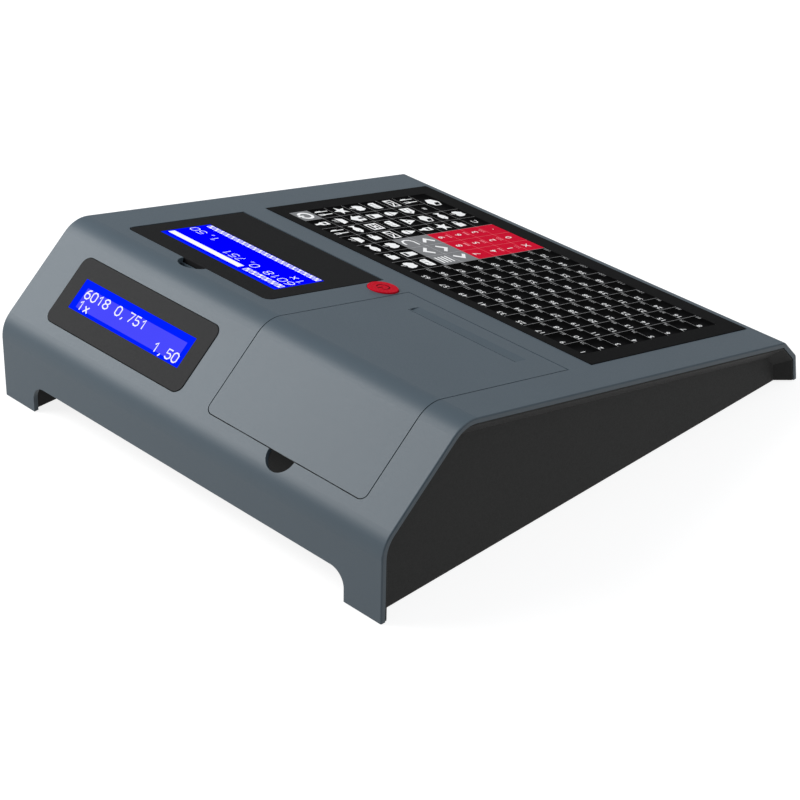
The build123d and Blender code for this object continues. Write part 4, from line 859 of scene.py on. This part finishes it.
def floor_paper(name):
    """A pale floor that keeps its shadows, and shows bright to the camera and in gloss."""
    material, tree, shader, coordinates = new_material(name)
    tint = noise(tree, coordinates, 3.0, 2.0, (-600, 200))
    dark, light = [(shade, shade, shade) for shade in FLOOR_SHADES]
    path = add_node(tree, "LightPath", (-900, -300), {}).outputs
    seen = maths(tree, "MAXIMUM", path["Is Camera Ray"], path["Is Glossy Ray"], (-700, -300))
    seen = maths(tree, "MAXIMUM", seen, path["Is Transmission Ray"], (-500, -300))
    plug(tree, shader, {
        "Base Color": mixed(tree, dark, light, tint, (-300, 200)),
        "Roughness": 0.9,
        "Emission Color": (FLOOR_GLOW, FLOOR_GLOW, FLOOR_GLOW, 1),
        "Emission Strength": maths(tree, "MULTIPLY", seen, FLOOR_GLOW_STRENGTH, (-300, -300)),
    })
    return material


# ---------------- pieces
class RegisterFinishes(bpy.types.Operator):
    """Give every node of the frame its finish"""

    bl_idname = "register.finishes"
    bl_label = "Finishes"

    def execute(self, context):
        shades = colours()
        left = set(nodes)
        for names, material in (
            ("top_cover printer_lid", moulded(
                "cover_grey", shades.cover, (0.40, 0.50),
                mottle=0.02, grain=1800.0, relief=0.00002, specular=0.37)),
            ("base_tub keyboard_tray operator_back", moulded(
                "base_black", shades.base, (0.50, 0.62), grain=1300.0)),
            ("operator_panel", moulded(
                "panel_black", shades.panel, (0.55, 0.65), mottle=0.02, specular=0.03)),
            ("keyboard_frame", moulded(
                "frame_black", shades.key_frame, (0.55, 0.65), mottle=0.02, specular=0.018)),
            ("customer_bezel", moulded(
                "bezel_grey", shades.bezel, (0.50, 0.60), mottle=0.02, specular=0.08)),
            ("rubber_feet", moulded(
                "pad_rubber", (0.015, 0.015, 0.015), (0.75, 0.90), grain=700.0)),
            ("power_button", moulded(
                "button_red", shades.button, (0.38, 0.46), mottle=0.02, specular=0.008)),
            ("switch_plunger power_switch", moulded(
                "switch_black", (0.016, 0.016, 0.017), (0.40, 0.50))),
            ("paper_well", moulded("well_grey", (0.030, 0.032, 0.034), (0.55, 0.65))),
            ("platen_roller", moulded(
                "platen_rubber", (0.020, 0.020, 0.021), (0.70, 0.82), grain=900.0)),
            ("motor_pinion idler_gear platen_gear platen_bushes", moulded(
                "gear_white", (0.62, 0.61, 0.57), (0.38, 0.48), grain=600.0, specular=0.4)),
            ("print_head", moulded(
                "head_alloy", (0.42, 0.42, 0.44), (0.35, 0.48), grain=500.0, metallic=1.0)),
            ("stepper_motor", moulded(
                "motor_case", (0.34, 0.34, 0.35), (0.34, 0.46), grain=400.0, metallic=1.0)),
            ("serial_sockets drawer_socket network_socket power_inlet ribbon_sockets"
             " circuit_chips", moulded("socket_black", (0.012, 0.012, 0.013), (0.42, 0.52))),
            ("capacitors", moulded("capacitor_sleeve", (0.012, 0.018, 0.055), (0.25, 0.35))),
            ("keyboard_ribbon customer_ribbon", moulded(
                "cable_white", (0.55, 0.55, 0.53), (0.45, 0.58))),
            ("printer_frame", brushed(
                "zinc_plate", (0.56, 0.57, 0.58), (0.30, 0.46), (0.06, 1.0, 1.0))),
            ("platen_shaft motor_shaft head_rod idler_post operator_hinge_pins"
             " lid_hinge_pins", brushed(
                "turned_steel", (0.60, 0.60, 0.60), (0.20, 0.34), (1.0, 0.06, 0.06))),
            ("head_springs tear_bar backup_battery", brushed(
                "spring_steel", (0.50, 0.50, 0.50), (0.22, 0.34), (1.0, 1.0, 0.06))),
            ("keyboard_screws cover_screws printer_screws board_screws", brushed(
                "screw_steel", (0.58, 0.58, 0.58), (0.28, 0.40), (1.0, 1.0, 0.2))),
            ("main_board operator_board customer_board keyboard_board switch_board",
             circuit_board("board_green")),
            ("operator_lcd customer_lcd operator_lens customer_lens",
             glowing("display_blue", shades.screen_edge, 0.03)),
            ("key_sheet", moulded("film_back", shades.lines, (0.40, 0.50))),
        ):
            for name in names.split():
                node = nodes[name]
                if not node.material_slots:
                    node.data.materials.append(material)
                for place in node.material_slots:
                    place.material = material
                left.discard(name)
        if left:
            raise RuntimeError("nodes without a finish: " + ", ".join(sorted(left)))
        return {"FINISHED"}


class RegisterKeyFilm(bpy.types.Operator):
    """Make the key film with its raised pads, in black, red and grey"""

    bl_idname = "register.key_film"
    bl_label = "Key film"

    def execute(self, context):
        face = top_face()
        size, shades = sizes(), colours()
        low, high = reach("key_sheet", face)
        base = size.film_top - size.pad_lift
        pad_shape = (size.pad_side, size.pad_corner, size.pad_lift, size.pad_dish)
        pad = key_pad(size.pad_side, *pad_shape)
        wide_pad = key_pad(size.pad_side + size.key_pitch, *pad_shape)
        groups = {"key_film": [], "red_keys": [], "grey_keys": []}
        for column in range(COLUMNS):
            for row in range(ROWS):
                key = (column, row)
                if key not in WIDE_KEY:
                    groups[key_group(key)].append((*key_middle(*key), base))
        film_low = (low.x + FILM_EDGE, low.y + FILM_EDGE, low.z)
        film_high = (high.x - FILM_EDGE, high.y - FILM_EDGE, base)
        film = block("key_lines", film_low, film_high, FILM_CORNER)
        grey = moulded("line_grey", shades.lines, (0.40, 0.50))
        fit(film, face, "housing", grey)
        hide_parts("key_sheet")
        coloured = {"gloss": (0.38, 0.48), "mottle": 0.03, "grain": 900.0, "specular": 0.004}
        finishes = {
            "key_film": key_black("key_black"),
            "red_keys": moulded("key_red", shades.red_keys, **coloured),
            "grey_keys": moulded("key_grey", shades.grey_keys, **coloured),
        }
        for name, places in groups.items():
            pieces = copies(pad, places)
            if name == "key_film":
                pieces += copies(wide_pad, [(*wide_key_middle(), base)])
            fit(join(name, pieces), face, "housing", finishes[name])
        # the lines between coloured keys are a paler red and a paler grey
        margin = size.key_pitch / 2 - LINE_INSET
        line_low, line_high = base - size.pad_lift, base + size.pad_lift / 4
        for name, keys, shade in (
            ("red_lines", RED_KEYS, shades.red_lines),
            ("grey_lines", GREY_KEYS, shades.grey_lines),
        ):
            middles = [key_middle(*key) for key in keys if key != RING_KEY]
            across, along = zip(*middles)
            lines = block(
                name,
                (min(across) - margin, min(along) - margin, line_low),
                (max(across) + margin, max(along) + margin, line_high),
                LINE_CORNER,
            )
            fit(lines, face, "housing", moulded(name, shade, (0.40, 0.50)))
        discard(pad)
        discard(wide_pad)
        return {"FINISHED"}


class RegisterKeyPrint(bpy.types.Operator):
    """Print the numbers, digits and pictograms on the keys"""

    bl_idname = "register.key_print"
    bl_label = "Key print"

    def execute(self, context):
        size = sizes()
        top = size.film_top - size.pad_dish / 2
        unit = size.key_pitch / PICTURE_UNITS
        small_unit = size.key_pitch / SMALL_UNITS
        numbers, labels, red_labels, marks = [], [], [], []
        for column in range(COLUMNS):
            for row in range(ROWS):
                key = (column, row)
                middle = key_middle(*key)
                if column < NUMBER_COLUMNS:
                    number = ROWS * column + row + 1
                    second = number + ROWS * NUMBER_COLUMNS
                    place = on_key(key, NUMBER_PLACE)
                    numbers.append(print_words(str(number), size.number_size, place, top, "LEFT"))
                    place = on_key(key, SECOND_PLACE)
                    labels.append(print_words(str(second), size.label_size, place, top, "RIGHT"))
                elif key in RED_KEYS:
                    digit = RED_KEYS[key]
                    place = on_key(key, DIGIT_PLACE)
                    marks.append(print_words(digit, size.digit_size, place, top))
                    if digit.isdigit() and digit not in SINGLE_DIGITS:
                        place = on_key(key, TRIPLE_PLACE)
                        red_labels.append(print_words(digit * 3, size.label_size, place, top))
                elif key in WORD_KEYS:
                    marks.append(print_words(WORD_KEYS[key], size.digit_size, middle, top))
                elif key == RING_KEY:
                    symbol = power_symbol(
                        outer=7.2, inner=4.6, gap=40, steps=20, half_width=1.2, foot=2, head=8)
                    marks.append(print_outlines(symbol, unit, middle, top))
                elif key not in WIDE_KEY:
                    picture = corners(PICTURES[key_picture(column, row)])
                    scale = unit if key in GREY_KEYS else small_unit
                    marks.append(print_outlines(picture, scale, middle, top))
        marks.append(print_outlines(corners(PICTURES["box"]), unit, wide_key_middle(), top))
        white = colours().white_print
        red = [part * share for part, share in zip(white, RED_LABEL_SHADE)]
        for name, pieces, shade in (
            ("key_numbers", numbers, white),
            ("key_marks", marks, white),
            ("key_labels", labels, scaled(white, LABEL_SHADE)),
            ("red_labels", red_labels, red),
        ):
            ink = moulded(name, shade, (0.50, 0.60), mottle=0.03, grain=2500.0, specular=0.05)
            fit(join(name, pieces), top_face(), "housing", ink)
        return {"FINISHED"}


class RegisterButtonSymbol(bpy.types.Operator):
    """Print the power symbol on the button"""

    bl_idname = "register.button_symbol"
    bl_label = "Power symbol"

    def execute(self, context):
        face = top_face()
        button_top = reach("power_button", face)[1].z
        middle = (0, (sizes().button_front + sizes().button_rear) / 2)
        radius = sizes().symbol_radius
        outlines = power_symbol(
            outer=radius, inner=radius * 0.78, gap=70, steps=28,
            half_width=radius * 0.12, foot=radius * 0.1, head=radius * 1.15)
        symbol = print_outlines(outlines, 1.0, middle, button_top)
        symbol.name = "power_symbol"
        dark = scaled(colours().button, SYMBOL_SHADE)
        ink = moulded("symbol_red", dark, (0.40, 0.50), specular=0.008)
        fit(symbol, face, "button", ink)
        return {"FINISHED"}


class RegisterFingerScoop(bpy.types.Operator):
    """Make the finger scoop under the cover's notch behind the display flap"""

    bl_idname = "register.finger_scoop"
    bl_label = "Finger scoop"

    def execute(self, context):
        face = top_face()
        size = sizes()
        low, high = reach("operator_panel", face)
        behind_flap = size.cover_wall / 5
        wall_slant = size.scoop_wall / 5
        middle = Vector(((low.x + high.x) / 2, high.y + behind_flap, 0))
        height = size.scoop_depth + size.scoop_wall
        deselect()
        bpy.ops.mesh.primitive_cylinder_add(
            vertices=SCOOP_SIDES, radius=size.scoop_radius + size.scoop_wall, depth=height,
            location=middle - Vector((0, 0, size.cover_wall + height / 2)),
        )
        scoop = settle("finger_scoop")
        set_mode("EDIT")
        bpy.ops.mesh.select_all(action="SELECT")
        bpy.ops.mesh.bisect(plane_co=middle, plane_no=(0, 1, 0), use_fill=True, clear_inner=True)
        set_mode("OBJECT")
        pick(scoop, "FACE", looks_up)
        bpy.ops.mesh.inset(thickness=size.scoop_wall, depth=0)
        bpy.ops.mesh.inset(thickness=wall_slant, depth=0)
        bpy.ops.transform.translate(value=(0, 0, -size.scoop_depth))
        set_mode("OBJECT")
        fit(scoop, face, "housing", MADE["cover_grey"])
        return {"FINISHED"}


class RegisterOperatorScreen(bpy.types.Operator):
    """Light up the operator's display"""

    bl_idname = "register.operator_screen"
    bl_label = "Operator's screen"

    def execute(self, context):
        face = top_face()
        low, high = window("operator_lens", face)
        level = reach("operator_panel", face)[1].z - sizes().glass_drop
        glass = screen_glass("operator_glass", low, high, level)
        fit(glass, face, "display_flap", MADE["display_blue"])
        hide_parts("operator_lens")

        side, front, rear = 1.6 * MM, 0.5 * MM, 3.4 * MM
        field = lit_field(
            "operator_field", (low.x + side, low.y + front), (high.x - side, high.y - rear), level)
        blue = glowing("operator_blue", colours().operator_field, 0.02)
        fit(field, face, "display_flap", blue)
        level += LAYER

        key_side, key_front, key_rear = 2.4 * MM, low.y + 1.3 * MM, low.y + 5.8 * MM
        bar_front, bar_rear = low.y + 30.5 * MM, low.y + 35.5 * MM
        bar_left, keys_right = low.x + 38.0 * MM, low.x + 37.4 * MM
        left, right = low.x + key_side, high.x - key_side
        outlines = [bar((bar_left, bar_front), (right, bar_rear))]
        outlines += soft_keys(left, keys_right, bar_front, bar_rear)
        outlines += soft_keys(left, right, key_front, key_rear)
        pieces = [print_outlines(outlines, 1.0, (0, 0), level)]

        height, stroke = 6.2 * MM, 0.62 * MM
        left, upper, lower = low.x + 3.2 * MM, low.y + 21.3 * MM, low.y + 12.9 * MM
        pieces += screen_lines(left, right, upper, lower, height, level, stroke)
        white = glowing("screen_white", (1, 1, 1), 0.02)
        fit(join("operator_screen", pieces), face, "display_flap", white)
        return {"FINISHED"}


class RegisterCustomerScreen(bpy.types.Operator):
    """Light up the customer's display"""

    bl_idname = "register.customer_screen"
    bl_label = "Customer's screen"

    def execute(self, context):
        face = slope_face()
        low, high = window("customer_lens", face)
        level = reach("customer_bezel", face)[1].z - sizes().glass_drop
        glass = screen_glass("customer_glass", low, high, level)
        fit(glass, face, "housing", MADE["display_blue"])
        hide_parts("customer_lens")

        left, right = low.x + 5.9 * MM, high.x - 5.0 * MM
        foot, head = low.y + 3.1 * MM, low.y + 16.2 * MM
        field = lit_field("customer_field", (left, foot), (right, head), level)
        blue = glowing("customer_blue", colours().customer_field, 0.02)
        fit(field, face, "housing", blue)
        level += LAYER

        height, stroke = 5.7 * MM, 0.85 * MM
        left, right = low.x + 6.9 * MM, high.x - 4.5 * MM
        upper, lower = low.y + 10.2 * MM, low.y + 2.6 * MM
        pieces = screen_lines(left, right, upper, lower, height, level, stroke)
        white = MADE["screen_white"]
        fit(join("customer_screen", pieces), face, "housing", white)
        return {"FINISHED"}


class RegisterStage(bpy.types.Operator):
    """Set up the floor, the studio light and the camera"""

    bl_idname = "register.stage"
    bl_label = "Stage"

    def execute(self, context):
        scene = bpy.context.scene
        scene.view_settings.view_transform = "Standard"
        deselect()
        bpy.ops.mesh.primitive_plane_add(size=FLOOR_SIDE, location=(0, 0, 0))
        floor = settle("floor")
        floor.data.materials.append(floor_paper("floor_paper"))

        world = bpy.data.worlds.new("studio")
        scene.world = world
        world.use_nodes = True
        tree = world.node_tree
        glow = {"Color": (*STUDIO_COLOUR, 1), "Strength": STUDIO_STRENGTH}
        plug(tree, tree.nodes["Background"], glow)

        for name, direction, distance, side, energy in LIGHTS:
            direction = Vector(direction).normalized()
            deselect()
            place = Vector(LIGHT_AIM) + direction * distance
            bpy.ops.object.light_add(type="AREA", location=place)
            light = bpy.context.object
            light.name = name
            light.data.shape = "SQUARE"
            light.data.size = side
            light.data.energy = energy
            light.rotation_euler = direction.to_track_quat("Z", "Y").to_euler()

        deselect()
        bpy.ops.object.camera_add()
        camera = bpy.context.object
        view = Vector(CAMERA_PLACE), Vector(CAMERA_RIGHT), Vector(CAMERA_UP)
        camera.matrix_world = face_matrix(*view)
        camera.data.lens = CAMERA_LENS
        camera.data.sensor_width = CAMERA_SENSOR
        scene.camera = camera
        return {"FINISHED"}


class RegisterPanel(bpy.types.Panel):
    """The steps of the register, in order"""

    bl_idname = "VIEW3D_PT_register"
    bl_label = "Ticket register"
    bl_space_type = "VIEW_3D"
    bl_region_type = "UI"
    bl_category = "Register"

    def draw(self, context):
        column = self.layout.column(align=True)
        for step in STEPS:
            column.operator(step.bl_idname, text=step.bl_label)


STEPS = (
    RegisterStage,
    RegisterFinishes,
    RegisterKeyFilm,
    RegisterKeyPrint,
    RegisterButtonSymbol,
    RegisterFingerScoop,
    RegisterOperatorScreen,
    RegisterCustomerScreen,
)
CLASSES = (RegisterSizes, RegisterColours, *STEPS, RegisterPanel)


def register():
    for item in CLASSES:
        bpy.utils.register_class(item)
    bpy.types.Scene.register_sizes = PointerProperty(type=RegisterSizes)
    bpy.types.Scene.register_colours = PointerProperty(type=RegisterColours)


def unregister():
    del bpy.types.Scene.register_colours
    del bpy.types.Scene.register_sizes
    for item in reversed(CLASSES):
        bpy.utils.unregister_class(item)


def main():
    register()
    for step in STEPS:
        group, name = step.bl_idname.split(".")
        getattr(getattr(bpy.ops, group), name)()


if __name__ == "__main__":
    main()
